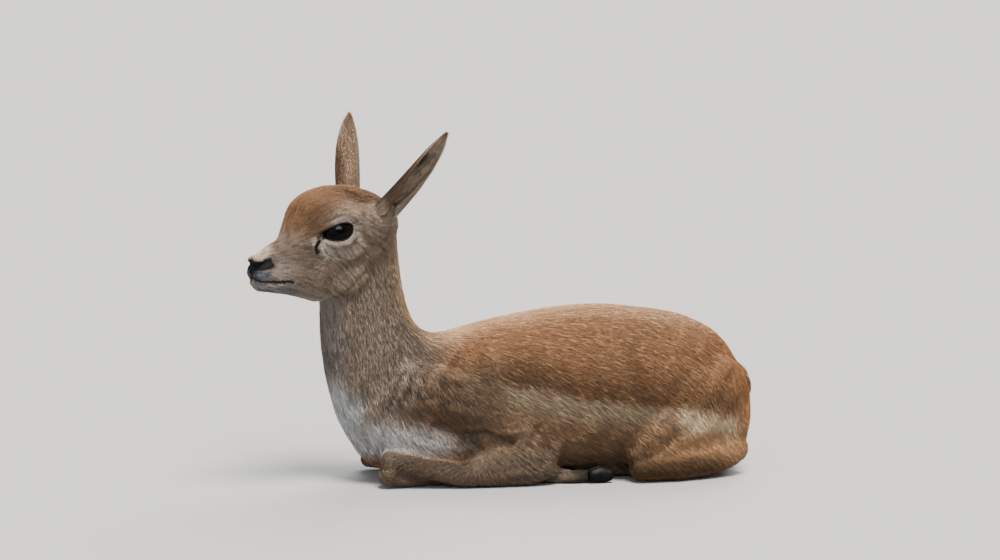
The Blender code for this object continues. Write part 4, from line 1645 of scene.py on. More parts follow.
@dataclass(frozen=True)
class Markings:
    """Paints the skin: patches and lines of colour, painted shade and highlights among them, then the
    flanks, legs, face and ears.
    """

    head: HeadFrame
    lids: Lids
    broad: Noise = Noise(42.0, 11)
    bare_trim: float = 0.6
    ruffle: float = 0.10
    # Painted sheen on skin that faces up, ahead of the rump.
    sheen_faces: tuple = (0.72, 1.0)
    sheen_ends: tuple = (212.0, 184.0)
    sheen_share: float = 0.75
    # Painted shadow fades in below these heights above the floor.
    low_edge: tuple = (16.0, 4.0)
    low_share: float = 0.6
    mottles: tuple = (0.07, 0.06)
    darkest: float = 0.004
    trim_rounds: int = 14
    trim_gain: float = 2.5
    head_rounds: int = 26
    head_least: float = 0.02
    bare_gain: float = 1.6
    coarse: float = 2.0
    fine: float = 0.8

    def paint(self, skin: Surface) -> None:
        """Fills in colour and bareness over the skin.

        Args:
            skin: The skin, whose colour and bareness are changed.
        """
        places = both_alike(skin.points)
        warp = self.ruffle * WARP.at(skin.points)
        colour = np.tile(np.array(BACK_ORANGE), (len(places), 1))
        # Painted sheen: skin that faces up, ahead of the rump, is paled as if lit from above.
        sheen = step_between(*self.sheen_faces, skin.normals[:, 2])
        sheen *= step_between(*self.sheen_ends, places[:, 0])
        mix_in(colour, BACK_PAINTED_SHEEN, self.sheen_share * sheen)
        self._lay(colour, places, UNDER_PATCHES, warp)
        Flank().paint(colour, places, skin)
        self._lay(colour, places, OVER_PATCHES, warp)
        self._draw(colour, places, BODY_STREAKS)
        # Painted shadow: the skin lowest down, near the floor, is darkened.
        mix_in(colour, FLOOR_SHADOW, self.low_share * step_between(*self.low_edge, places[:, 2]))
        Legs().paint(colour, places, skin)
        # Painted shade on the lower forearms.
        self._draw(colour, places, LEG_SHADE_STREAKS)
        self._head(colour, skin, warp)
        Ears().paint(colour, skin)
        small, broad = self.mottles
        mottled = 1 + small * MOTTLE.at(skin.points) + broad * self.broad.at(skin.points)
        skin.colour = np.clip(colour * mottled[:, None], self.darkest, 1)
        close = skin.smoother.even(skin.bare, self.trim_rounds)
        skin.length *= 1 - self.bare_trim * np.clip(self.trim_gain * close, 0, 1)

    def _lay(self, colour: Array, places: Array, patches: tuple, warp: Array) -> None:
        """Lays patches over the colours, in order."""
        for patch in patches:
            mix_in(colour, patch.colour, patch.strength * self._cover(places, patch, warp))

    def _cover(self, places: Array, patch: Patch, warp: Array | float) -> Array:
        """How much of a patch's colour each point takes."""
        away = np.linalg.norm((places - np.array(patch.centre)) / np.array(patch.radii), axis=1) + warp
        return step_between(1 + patch.softness, 1 - patch.softness, away)

    def _draw(self, colour: Array, places: Array, streaks: tuple) -> None:
        """Draws lines of colour."""
        for streak in streaks:
            mix_in(colour, streak.colour, streak.strength * self._nearness(places, streak))

    def _nearness(self, places: Array, streak: Streak) -> Array:
        """How much of a line's colour each point takes.

        Args:
            places: Each point in the line's measures.
            streak: The line.

        Returns:
            A weight for each point.
        """
        course = spaced(streak.course, self.coarse)
        near = near_line(places, course, streak.half_width)
        weight = np.zeros(len(places))
        line = spaced(laid_onto(course, places[near]), self.fine)
        weight[near] = hump(reach_to(places[near], line), streak.half_width)
        return weight

    def _head(self, colour: Array, skin: Surface, warp: Array) -> None:
        """Colours the head, with its bare nose, lips and tear slits and the rings round its eyes.

        Args:
            colour: The colours so far, which are changed.
            skin: The skin.
            warp: What ruffles the patches' edges.
        """
        share = skin.smoother.even(of_nodes(skin.node, "head").astype(float), self.head_rounds)
        on_head = np.flatnonzero(share > self.head_least)
        measures = self.head.measures(skin.points[on_head])
        mirrored = both_alike(measures)
        face = np.tile(np.array(HEAD_GREY), (len(on_head), 1))
        self._lay(face, mirrored, HEAD_PATCHES, warp[on_head])
        self._draw(face, mirrored, HEAD_STREAKS)
        for side in Side:
            EyeRing(self.head, self.lids).paint(face, skin, on_head, side)
        self._draw(face, mirrored, PALE_STREAKS)
        shapes = [(streak.colour, self._nearness(mirrored, streak)) for streak in BARE_STREAKS]
        shapes += [(patch.colour, self._cover(mirrored, patch, 0)) for patch in BARE_PATCHES]
        for dark, weight in shapes:
            mix_in(face, dark, self.bare_gain * weight)
            skin.bare[on_head] = np.maximum(skin.bare[on_head], weight > BARE_FROM)
        blend = share[on_head, None]
        colour[on_head] = colour[on_head] * (1 - blend) + face * blend


@dataclass(frozen=True)
class Unwrap:
    """Lays each region of the skin out flat, so that each tuft's root has a place on it."""

    head: HeadFrame
    margin: float = 0.02
    head_middle: float = 35.0
    head_span: tuple = (-10.0, 200.0)
    neck_middle: float = -190.0
    neck_span: tuple = (50.0, 310.0)
    trunk_middle: float = 80.0
    trunk_span: tuple = (-250.0, 240.0)
    leg_middle: float = 14.0
    leg_span: tuple = (-195.0, 235.0)
    tail_middle: float = 218.0
    tail_span: tuple = (70.0, 145.0)

    def regions(self) -> dict:
        """The regions, each with the numbers of its nodes.

        Returns:
            Node numbers by the region's name.
        """
        trunk = [FLESH.index(name) for name in TRUNK if name != "neck"]
        made = {"torso": trunk, "neck": [FLESH.index("neck")], "head": [FLESH.index("head")]}
        made["tail"] = [FLESH.index("tail")]
        made["legs"] = [FLESH.index(name) for name in LOWER_LEGS]
        made["left_ear"] = [len(FLESH)]
        made["right_ear"] = [len(FLESH) + 1]
        return made

    def places(self, region: str, roots: Array, node: Array, ear: Array) -> Array:
        """Finds where roots lie on their region's flat layout.

        Args:
            region: The region's name.
            roots: The roots in millimetres.
            node: The node number of each root.
            ear: Along, round and in the ear for each root.

        Returns:
            Two numbers from 0 to 1 for each root.
        """
        x, y, z = roots.T
        if region.endswith("ear"):
            flat = np.column_stack([(ear[:, 1] + 1) / 4 + ear[:, 2] / 2, ear[:, 0]])
        elif region == "head":
            back, aside, up = self.head.measures(roots).T
            flat = self._rolled(aside, up - self.head_middle, back, self.head_span)
        elif region == "neck":
            flat = self._rolled(y, x - self.neck_middle, z, self.neck_span)
        elif region == "tail":
            flat = self._rolled(y, x - self.tail_middle, z, self.tail_span)
        elif region == "legs":
            strip = node - FLESH.index(LOWER_LEGS[0])
            middle = np.zeros(len(FLESH))
            for number in np.unique(node):
                middle[number] = y[node == number].mean()
            flat = self._rolled(y - middle[node], z - self.leg_middle, x, self.leg_span)
            flat[:, 0] = (strip + flat[:, 0]) / len(LOWER_LEGS)
        else:
            flat = self._rolled(y, z - self.trunk_middle, x, self.trunk_span)
        return self.margin + (1 - 2 * self.margin) * np.clip(flat, 0, 1)

    def _rolled(self, across: Array, up: Array, along: Array, span: tuple) -> Array:
        """Unrolls a form round its own length."""
        low, high = span
        return np.column_stack([np.arctan2(across, up) / math.tau + 0.5, (along - low) / (high - low)])


# Each row is a triangle of a tuft: its root's corners are 0 to 2, its middle's 3 to 5 and its tip 6.
BENT_TUFT = np.array([
    (0, 3, 1), (1, 3, 4), (1, 4, 2), (2, 4, 5), (2, 5, 0), (0, 5, 3), (3, 6, 4), (4, 6, 5), (5, 6, 3),
    (0, 1, 2),
])
TUFT_LAYOUT = np.array([(-1, -1), (0, -1), (1, -1), (-1, 0), (0, 0), (1, 0), (0, 1)])
# A straight tuft has no middle, and its tip is 3.
STRAIGHT_TUFT = np.array([(0, 3, 1), (1, 3, 2), (2, 3, 0), (0, 1, 2)])


@dataclass
class Tufts:
    """What is known of each tuft of hair."""

    root: Array
    normal: Array
    lie: Array
    length: Array
    width: Array
    colour: Array
    node: Array
    ear: Array
    bent: Array
    strand: Array

    def only(self, chosen: Array) -> "Tufts":
        """Some of the tufts."""
        return Tufts(*(getattr(self, name)[chosen] for name in self.__dataclass_fields__))


@dataclass
class Coat:
    """Lays tufts of short hair over the skin, flat along its lie and over one another."""

    skin: Surface
    head: HeadFrame
    lids: Lids
    bent_share: float = 0.3
    least_clear: float = 0.12
    width_share: float = 0.042
    least_width: float = 0.32
    height_share: float = 0.15
    sink: float = 0.45
    thickness: float = 0.30
    underside: float = 0.35
    patch: float = 0.0015
    # Each tuft is darkest at its root and palest at its tip: painted shade between the hairs and painted
    # light on their tips.
    root_shade: float = 0.55
    middle_shade: float = 0.96
    tip_shade: float = 1.16
    flecks: tuple = ((0.30, 0.75), (0.34, 0.20))
    locks: Noise = Noise(8.5, 13)
    other_locks: float = 90.0
    strands: Noise = Noise(1.45, 23)
    checked: tuple = (0.25, 0.75)
    strand_steps: int = 13
    strand_reach: float = 0.95
    haired_below: float = 0.4
    faces_down: tuple = (-0.55, -0.85)
    low: float = 60.0
    on_floor: tuple = (2.0, 0.15)
    quick_wider: float = 1.7
    turns: tuple = (0.08, 0.05)
    varies: float = 0.2
    limits: tuple = (0.6, 1.5)
    ear_flecks: float = 0.35
    fleck_parts: tuple = (0.9, 0.5, 0.3)
    shades: tuple = (0.40, 1.38)
    rises: tuple = (0.58, 0.18, 0.07)
    rise_limits: tuple = (0.15, 1.0)
    middle_share: float = 0.85
    short: float = 3.0
    clear_share: float = 0.25
    eye_reach: float = 30.0
    eye_gap: float = 0.4

    def __post_init__(self) -> None:
        """Prepares the flat layout, the source of chance and the search for the skin beneath a tuft."""
        self.unwrap = Unwrap(self.head)
        self.chance = np.random.default_rng(SEED)
        body = self.skin.triangles[(self.skin.node[self.skin.triangles] < len(FLESH)).all(axis=1)]
        self.tree = BVHTree.FromPolygons((self.skin.points * MM).tolist(), body.tolist())
        self.naked = (self.skin.bare[body].max(axis=1) > BARE_FROM).tolist()

    def grow(self, finish: Material) -> list:
        """Grows the whole coat.

        Args:
            finish: The hair's material.

        Returns:
            The pieces of the coat.
        """
        tufts = self._rooted()
        tufts = self._spread(tufts)
        middle, tip, haired = self._laid(tufts)
        clear = haired & self._clear_of_eyes(tip) & self._clear_of_eyes(middle)
        tufts, middle, tip = tufts.only(clear), middle[clear], tip[clear]
        pieces = []
        for region, numbers in self.unwrap.regions().items():
            chosen = np.flatnonzero(np.isin(tufts.node, numbers))
            chosen = chosen[np.argsort(tufts.root[chosen, 0], kind="stable")]
            faces = np.where(tufts.bent[chosen], len(BENT_TUFT), len(STRAIGHT_TUFT)).sum()
            parts = max(1, math.ceil(faces / PIECE_TRIANGLES))
            for number, rows in enumerate(np.array_split(chosen, parts)):
                name = f"coat_{region}" if parts == 1 else f"coat_{region}_{number + 1}"
                mesh = self._mesh(name, tufts.only(rows), middle[rows], tip[rows], region)
                pieces.append(shown(name, mesh, finish))
        return pieces

    def _rooted(self) -> Tufts:
        """Scatters roots over the skin, closest where the hair is shortest.

        Returns:
            The tufts.
        """
        skin, chance = self.skin, self.chance
        corners = skin.triangles
        a, b, c = (skin.points[corners[:, i]] for i in range(3))
        area = np.linalg.norm(np.cross(b - a, c - a), axis=1) / 2
        length = skin.length[corners].mean(axis=1)
        width = self.width_share * length + self.least_width
        faces = len(STRAIGHT_TUFT) + self.bent_share * (len(BENT_TUFT) - len(STRAIGHT_TUFT))
        wanted = area / (length * width) * (skin.bare[corners].mean(axis=1) < self.haired_below)
        height = skin.points[corners, 2].mean(axis=1)
        below = step_between(*self.faces_down, skin.normals[corners, 2].mean(axis=1)) * (height < self.low)
        wanted *= 1 - below * (1 - self.underside)
        least_height, share = self.on_floor
        wanted *= np.where(height < least_height, share, 1.0)
        budget = COAT_TRIANGLES
        thickness = budget / (wanted.sum() * faces)
        LOG.info("the coat lies %.1f tufts thick", thickness)
        counts = np.floor(wanted * thickness + chance.random(len(wanted))).astype(int)
        picked = np.repeat(np.arange(len(counts)), counts)
        first, second = np.sqrt(chance.random(len(picked))), chance.random(len(picked))
        shares = np.column_stack([1 - first, first * (1 - second), first * second])[:, :, None]
        rows = corners[picked]

        def blended(values: Array) -> Array:
            """Reads values of the skin at the roots."""
            return (values[rows].reshape(len(rows), 3, -1) * shares).sum(axis=1)

        ear = np.column_stack([skin.along_ear, skin.round_ear, skin.in_ear])
        grown = blended(skin.length)[:, 0]
        broad = (self.width_share * grown + self.least_width) * 1.0
        return Tufts(
            root=blended(skin.points), normal=unit(blended(skin.normals)), lie=unit(blended(skin.lie)),
            length=grown, width=broad, colour=blended(skin.colour), node=skin.node[rows[:, 0]],
            ear=blended(ear), bent=np.zeros(len(rows), bool), strand=np.zeros(len(rows)),
        )

    def _spread(self, tufts: Tufts) -> Tufts:
        """Varies the tufts, in locks of neighbours and one by one.

        Args:
            tufts: The even tufts.

        Returns:
            The varied tufts.
        """
        chance, count = self.chance, len(tufts.root)
        tufts.strand = self._strands(tufts)
        locked, single = self.turns
        turn = locked * self.locks.at(tufts.root) + single * chance.normal(size=count)
        side = np.cross(tufts.normal, tufts.lie)
        tufts.lie = unit(tufts.lie + side * turn[:, None])
        tufts.length = tufts.length * np.clip(1 + self.varies * chance.normal(size=count), *self.limits)
        tufts.width = tufts.width * np.clip(1 + self.varies * chance.normal(size=count), *self.limits)
        grey = 1 - tufts.colour.min(axis=1) / tufts.colour.max(axis=1)
        fleck = np.interp(grey, *self.flecks) * np.where(tufts.node < len(FLESH), 1.0, self.ear_flecks)
        strand, own, lock = self.fleck_parts
        varied = strand * tufts.strand + own * chance.normal(size=count)
        varied += lock * self.locks.at(tufts.root + self.other_locks)
        tufts.colour = tufts.colour * np.clip(1 + fleck * varied, *self.shades)[:, None]
        return tufts

    def _strands(self, tufts: Tufts) -> Array:
        """Tells strands of neighbouring hair apart: noise drawn out along the lie of the coat.

        Args:
            tufts: The tufts, not yet turned one by one.

        Returns:
            A value for each tuft, as a rule from -2 to 2, alike along a strand.
        """
        total = np.zeros(len(tufts.root))
        for share in np.linspace(-self.strand_reach, self.strand_reach, self.strand_steps):
            total += self.strands.at(tufts.root + tufts.lie * (tufts.length * share)[:, None])
        return total / total.std()

    def _laid(self, tufts: Tufts) -> tuple:
        """Bends the tufts along the skin.

        Args:
            tufts: The tufts.

        Returns:
            The middle and the tip of each, and whether it stays off bare skin.
        """
        chance, count = self.chance, len(tufts.root)
        mean, strand, own = self.rises
        rise = np.clip(mean + strand * tufts.strand + own * chance.normal(size=count), *self.rise_limits)
        height = (tufts.length * self.height_share * rise)[:, None]
        flat_middle = tufts.root + tufts.lie * tufts.length[:, None] * 0.5
        flat_tip = tufts.root + tufts.lie * tufts.length[:, None]
        middle = flat_middle + tufts.normal * height * self.middle_share
        tip = flat_tip + tufts.normal * height
        haired = np.ones(count, bool)
        on_head = of_nodes(tufts.node, "head")
        followed = np.flatnonzero((tufts.node < len(FLESH)) & (on_head | (tufts.length > self.short)))
        for row in followed:
            place, normal, face, _ = self.tree.find_nearest(flat_tip[row] * MM)
            tip[row] = np.array(place) / MM + np.array(normal) * height[row]
            haired[row] = not self.naked[face]
        halfway = (tufts.root + tip) / 2
        for row in followed:
            place, normal, face, _ = self.tree.find_nearest(halfway[row] * MM)
            beneath, way = np.array(place) / MM, np.array(normal)
            middle[row] = beneath + way * height[row] * self.middle_share
            haired[row] &= not self.naked[face]
            clear = (halfway[row] - beneath) @ way
            tufts.bent[row] = clear < self.least_clear + self.clear_share * height[row, 0]
        for row in np.flatnonzero(on_head & haired):
            for share in self.checked:
                spot = tufts.root[row] * (1 - share) + tip[row] * share
                haired[row] &= not self.naked[self.tree.find_nearest(spot * MM)[2]]
        return middle, tip, haired

    def _clear_of_eyes(self, places: Array) -> Array:
        """Tells which places are not over an eye.

        Args:
            places: The places.

        Returns:
            True or False for each.
        """
        clear = np.ones(len(places), bool)
        for side in Side:
            centre = self.head.place(HeadFrame.EYE_PLACE, side)
            local = (places - centre) @ self.lids.axes(self.head, side).T
            near = np.flatnonzero((np.linalg.norm(local, axis=1) < self.eye_reach) & (local[:, 2] > 0))
            clear[near[self.lids.outside(local[near]) < self.eye_gap]] = False
        return clear

    def _mesh(self, name: str, tufts: Tufts, middle: Array, tip: Array, region: str) -> Mesh:
        """Makes one piece of the coat.

        Args:
            name: The piece's name.
            tufts: Its tufts.
            middle: The middle of each.
            tip: The tip of each.
            region: The region that it grows on.

        Returns:
            The piece's mesh, with its colours and its flat layout.
        """
        flat = self.unwrap.places(region, tufts.root, tufts.node, tufts.ear)
        long = tufts.bent
        side = unit(np.cross(tufts.normal, tufts.lie))
        start = tufts.root - tufts.normal * self.sink
        first = self._ring(start, side, tufts.normal, tufts.width)
        second = self._ring(middle, side, tufts.normal, tufts.width * self.middle_share)
        points = np.concatenate([first, second, tip[:, None]], axis=1)
        # Painted shade at each tuft's root and painted light at its tip.
        shade = np.array([self.root_shade] * 3 + [self.middle_shade] * 3 + [self.tip_shade])
        colours = tufts.colour[:, None] * shade[:, None]
        layout = flat[:, None] + TUFT_LAYOUT * self.patch
        kept = [0, 1, 2, 6]
        parts = [
            (points[long], colours[long], layout[long], BENT_TUFT),
            (points[~long][:, kept], colours[~long][:, kept], layout[~long][:, kept], STRAIGHT_TUFT),
        ]
        all_points, all_colours, all_layout, all_faces, base = [], [], [], [], 0
        for places, tints, spread, faces in parts:
            each = places.shape[1]
            starts = base + np.arange(len(places)) * each
            all_faces.append((faces[None] + starts[:, None, None]).reshape(-1, 3))
            all_points.append(places.reshape(-1, 3))
            all_colours.append(tints.reshape(-1, 3))
            all_layout.append(spread.reshape(-1, 2))
            base += len(places) * each
        triangles = np.vstack(all_faces)
        places = np.vstack(all_points)
        places[:, 2] = np.maximum(places[:, 2], FLOOR_GAP)
        mesh = mesh_of(name, places, triangles)
        coloured(mesh, np.vstack(all_colours))
        layer = mesh.uv_layers.new(name=BAKE_MAP)
        layer.data.foreach_set("uv", np.vstack(all_layout)[triangles.ravel()].astype(np.float32).ravel())
        return mesh

    def _ring(self, centre: Array, side: Array, normal: Array, width: Array) -> Array:
        """The three corners of a tuft's flattened cross-section.

        Args:
            centre: Its middle.
            side: The way across.
            normal: The way up.
            width: How wide it is.

        Returns:
            Three places for each tuft.
        """
        half = side * (width / 2)[:, None]
        top = normal * (width * self.thickness)[:, None]
        return np.stack([centre - half, centre + top, centre + half], axis=1)


def coloured(mesh: Mesh, colours: Array) -> None:
    """Gives each point of a mesh its colour.

    Args:
        mesh: The mesh.
        colours: A linear colour for each point.
    """
    layer = mesh.color_attributes.new(COLOUR, "FLOAT_COLOR", "POINT")
    rows = np.column_stack([colours, np.ones(len(colours))]).astype(np.float32)
    layer.data.foreach_set("color", rows.ravel())


class Shader:
    """One procedural material, put together node by node."""

    def __init__(self, name: str) -> None:
        """Starts a material.

        Args:
            name: The material's name.
        """
        self.material = bpy.data.materials.new(name)
        self.material.use_nodes = True
        self.tree = self.material.node_tree
        self.surface = self.tree.nodes["Principled BSDF"]

    def set(self, **values: float | tuple | Socket) -> None:
        """Sets or links inputs of the surface."""
        self._fill(self.surface, values)

    def node(self, kind: str, settings: dict, **values: float | tuple | Socket) -> bpy.types.Node:
        """Adds a node.

        Args:
            kind: The node's type.
            settings: Its own settings.
            values: A value or an output for each input, with _ for a space in its name.

        Returns:
            The node.
        """
        made = self.tree.nodes.new(kind)
        for key, value in settings.items():
            setattr(made, key, value)
        self._fill(made, values)
        return made

    def _fill(self, node: bpy.types.Node, values: dict) -> None:
        """Sets or links a node's inputs."""
        for key, value in values.items():
            self._plug(node.inputs[key.replace("_", " ")], value)

    def _plug(self, socket: Socket, value: float | tuple | Socket) -> None:
        """Sets one input, or links it where the value is an output.

        Args:
            socket: The input.
            value: The value or the output.
        """
        if isinstance(value, Socket):
            self.tree.links.new(value, socket)
        else:
            socket.default_value = value

    def attribute(self, name: str, output: str = "Color") -> Socket:
        """Reads what the mesh holds at each point."""
        return self.node("ShaderNodeAttribute", {"attribute_name": name}).outputs[output]

    def noise(self, scale: float, detail: float = 2.0, stretch: tuple = (1, 1, 1)) -> Socket:
        """Noise in space, which stays put on the body.

        Args:
            scale: How fine it is, per metre.
            detail: How many finer layers it has.
            stretch: How much faster it changes along each axis.

        Returns:
            A value from 0 to 1.
        """
        place = self.node("ShaderNodeTexCoord", {}).outputs["Object"]
        turned = self.node("ShaderNodeMapping", {}, Vector=place, Scale=stretch).outputs["Vector"]
        return self.node("ShaderNodeTexNoise", {}, Vector=turned, Scale=scale, Detail=detail).outputs["Fac"]

    def ranged(self, value: Socket, low: float, high: float, start: float, end: float) -> Socket:
        """Carries a value from one range to another."""
        limits = {"From_Min": low, "From_Max": high, "To_Min": start, "To_Max": end}
        return self.node("ShaderNodeMapRange", {}, Value=value, **limits).outputs["Result"]

    def mixed(
        self, share: float | Socket, first: tuple | Socket,
        second: tuple | Socket, blend: str = "MIX",
    ) -> Socket:
        """Mixes two colours.

        Args:
            share: How much of the second is taken.
            first: The first colour.
            second: The second colour.
            blend: The way that they mix.

        Returns:
            The mixed colour.
        """
        made = self.tree.nodes.new("ShaderNodeMix")
        made.data_type = "RGBA"
        made.blend_type = blend
        for place, value in zip((0, 6, 7), (share, first, second)):
            self._plug(made.inputs[place], value)
        return made.outputs[2]

    def bumped(self, height: Socket, depth: float, strength: float = 1.0) -> Socket:
        """Turns a height into the surface's normal."""
        made = self.node("ShaderNodeBump", {}, Height=height, Distance=depth * MM, Strength=strength)
        return made.outputs["Normal"]


@dataclass(frozen=True)
class HairFinish:
    """Dry short hair, coloured by the coat's markings and the painted shade and highlights that they carry.
    """

    name: str = "short_hair"
    roughness: float = 0.66
    gloss: float = 0.14
    sheen: float = 0.06
    grain: float = 900.0
    contrast: float = 0.16

    def material(self) -> Material:
        """Builds the material.

        Returns:
            The material.
        """
        shader = Shader(self.name)
        grain = shader.ranged(shader.noise(self.grain), 0.3, 0.7, 1 - self.contrast, 1 + self.contrast)
        colour = shader.mixed(1.0, shader.attribute(COLOUR), grain, "MULTIPLY")
        shader.set(
            Base_Color=colour, Roughness=self.roughness, Specular_IOR_Level=self.gloss,
            Sheen_Weight=self.sheen, Sheen_Roughness=0.45, Sheen_Tint=(1.0, 0.93, 0.84, 1.0),
        )
        return shader.material


@dataclass(frozen=True)
class SkinFinish:
    """The skin under the hair, with the same markings, and the pebbled skin of nose and lips."""

    name: str = "skin"
    haired: float = 0.8
    naked: float = 0.62
    streaks: float = 620.0
    pebbles: float = 900.0
    haired_gloss: float = 0.35
    naked_gloss: float = 0.07
    relief: float = 0.35

    def material(self) -> Material:
        """Builds the material.

        Returns:
            The material.
        """
        shader = Shader(self.name)
        bare = shader.attribute(BARE, "Fac")
        streaks = shader.noise(self.streaks, 4.0, (0.35, 1.0, 1.0))
        pattern = shader.ranged(streaks, 0.3, 0.7, 0.78, 1.12)
        colour = shader.mixed(1.0, shader.attribute(COLOUR), pattern, "MULTIPLY")
        place = shader.node("ShaderNodeTexCoord", {}).outputs["Object"]
        cells = shader.node("ShaderNodeTexVoronoi", {}, Vector=place, Scale=self.pebbles)
        pebbled = shader.ranged(cells.outputs["Distance"], 0.0, 0.6, 0.5, 0.0)
        height = shader.mixed(bare, streaks, pebbled)
        roughness = shader.ranged(bare, 0.0, 1.0, self.haired, self.naked)
        gloss = shader.ranged(bare, 0.0, 1.0, self.haired_gloss, self.naked_gloss)
        shader.set(
            Base_Color=colour, Roughness=roughness, Specular_IOR_Level=gloss,
            Normal=shader.bumped(height, self.relief, 0.8),
        )
        return shader.material


@dataclass(frozen=True)
class EyeFinish:
    """A wet, nearly black eye."""

    name: str = "wet_eye"
    fibres: float = 1500.0

    def material(self) -> Material:
        """Builds the material.

        Returns:
            The material.
        """
        shader = Shader(self.name)
        fibres = shader.ranged(shader.noise(self.fibres), 0.3, 0.7, 0.6, 1.5)
        colour = shader.mixed(1.0, shader.attribute(COLOUR), fibres, "MULTIPLY")
        shader.set(Base_Color=colour, Roughness=0.10, Specular_IOR_Level=0.10)
        return shader.material


@dataclass(frozen=True)
class HornFinish:
    """Dark satin horn with fine growth lines across it."""

    name: str = "hoof_horn"
    dark: tuple = (0.0035, 0.003, 0.003, 1.0)
    worn: tuple = (0.014, 0.012, 0.010, 1.0)
    dusty: tuple = (0.035, 0.03, 0.025, 1.0)
    lines: float = 330.0
    dust: float = 150.0
    gloss: float = 0.12

    def material(self) -> Material:
        """Builds the material.

        Returns:
            The material.
        """
        shader = Shader(self.name)
        lines = shader.noise(self.lines, 3.0, (1.0, 0.15, 0.15))
        dust = shader.noise(self.dust, 4.0)
        colour = shader.mixed(shader.ranged(lines, 0.35, 0.75, 0.0, 0.6), self.dark, self.worn)
        colour = shader.mixed(shader.ranged(dust, 0.55, 0.8, 0.0, 0.35), colour, self.dusty)
        roughness = shader.ranged(dust, 0.3, 0.7, 0.36, 0.6)
        shader.set(
            Base_Color=colour, Roughness=roughness, Specular_IOR_Level=self.gloss,
            Normal=shader.bumped(lines, 0.3, 0.7),
        )
        return shader.material


@dataclass(frozen=True)
class LidFinish:
    """The dark moist edge of a lid, and lashes."""

    name: str = "lid_edge"
    dark: tuple = (0.006, 0.005, 0.005, 1.0)
    light: tuple = (0.016, 0.013, 0.012, 1.0)

    def material(self) -> Material:
        """Builds the material.

        Returns:
            The material.
        """
        shader = Shader(self.name)
        grain = shader.noise(1800.0)
        colour = shader.mixed(shader.ranged(grain, 0.4, 0.75, 0.0, 1.0), self.dark, self.light)
        shader.set(
            Base_Color=colour, Roughness=0.55, Specular_IOR_Level=0.15,
            Normal=shader.bumped(grain, 0.12, 0.5),
        )
        return shader.material


@dataclass(frozen=True)
class FloorFinish:
    """A pale matt floor to the camera, which bounces a darker grey onto the animal and so deepens the shade
    on its undersides.
    """

    name: str = "pale_floor"
    colour: tuple = (0.55, 0.545, 0.535, 1.0)
    shade: tuple = (0.53, 0.525, 0.515, 1.0)
    bounce: tuple = (0.26, 0.26, 0.26, 1.0)

    def material(self) -> Material:
        """Builds the material.

        Returns:
            The material.
        """
        shader = Shader(self.name)
        colour = shader.mixed(shader.noise(3.0), self.colour, self.shade)
        # Only the camera sees the pale floor; light that bounces off it takes the darker grey.
        seen = shader.node("ShaderNodeLightPath", {}).outputs["Is Camera Ray"]
        shader.set(Base_Color=shader.mixed(seen, self.bounce, colour), Roughness=0.85)
        return shader.material


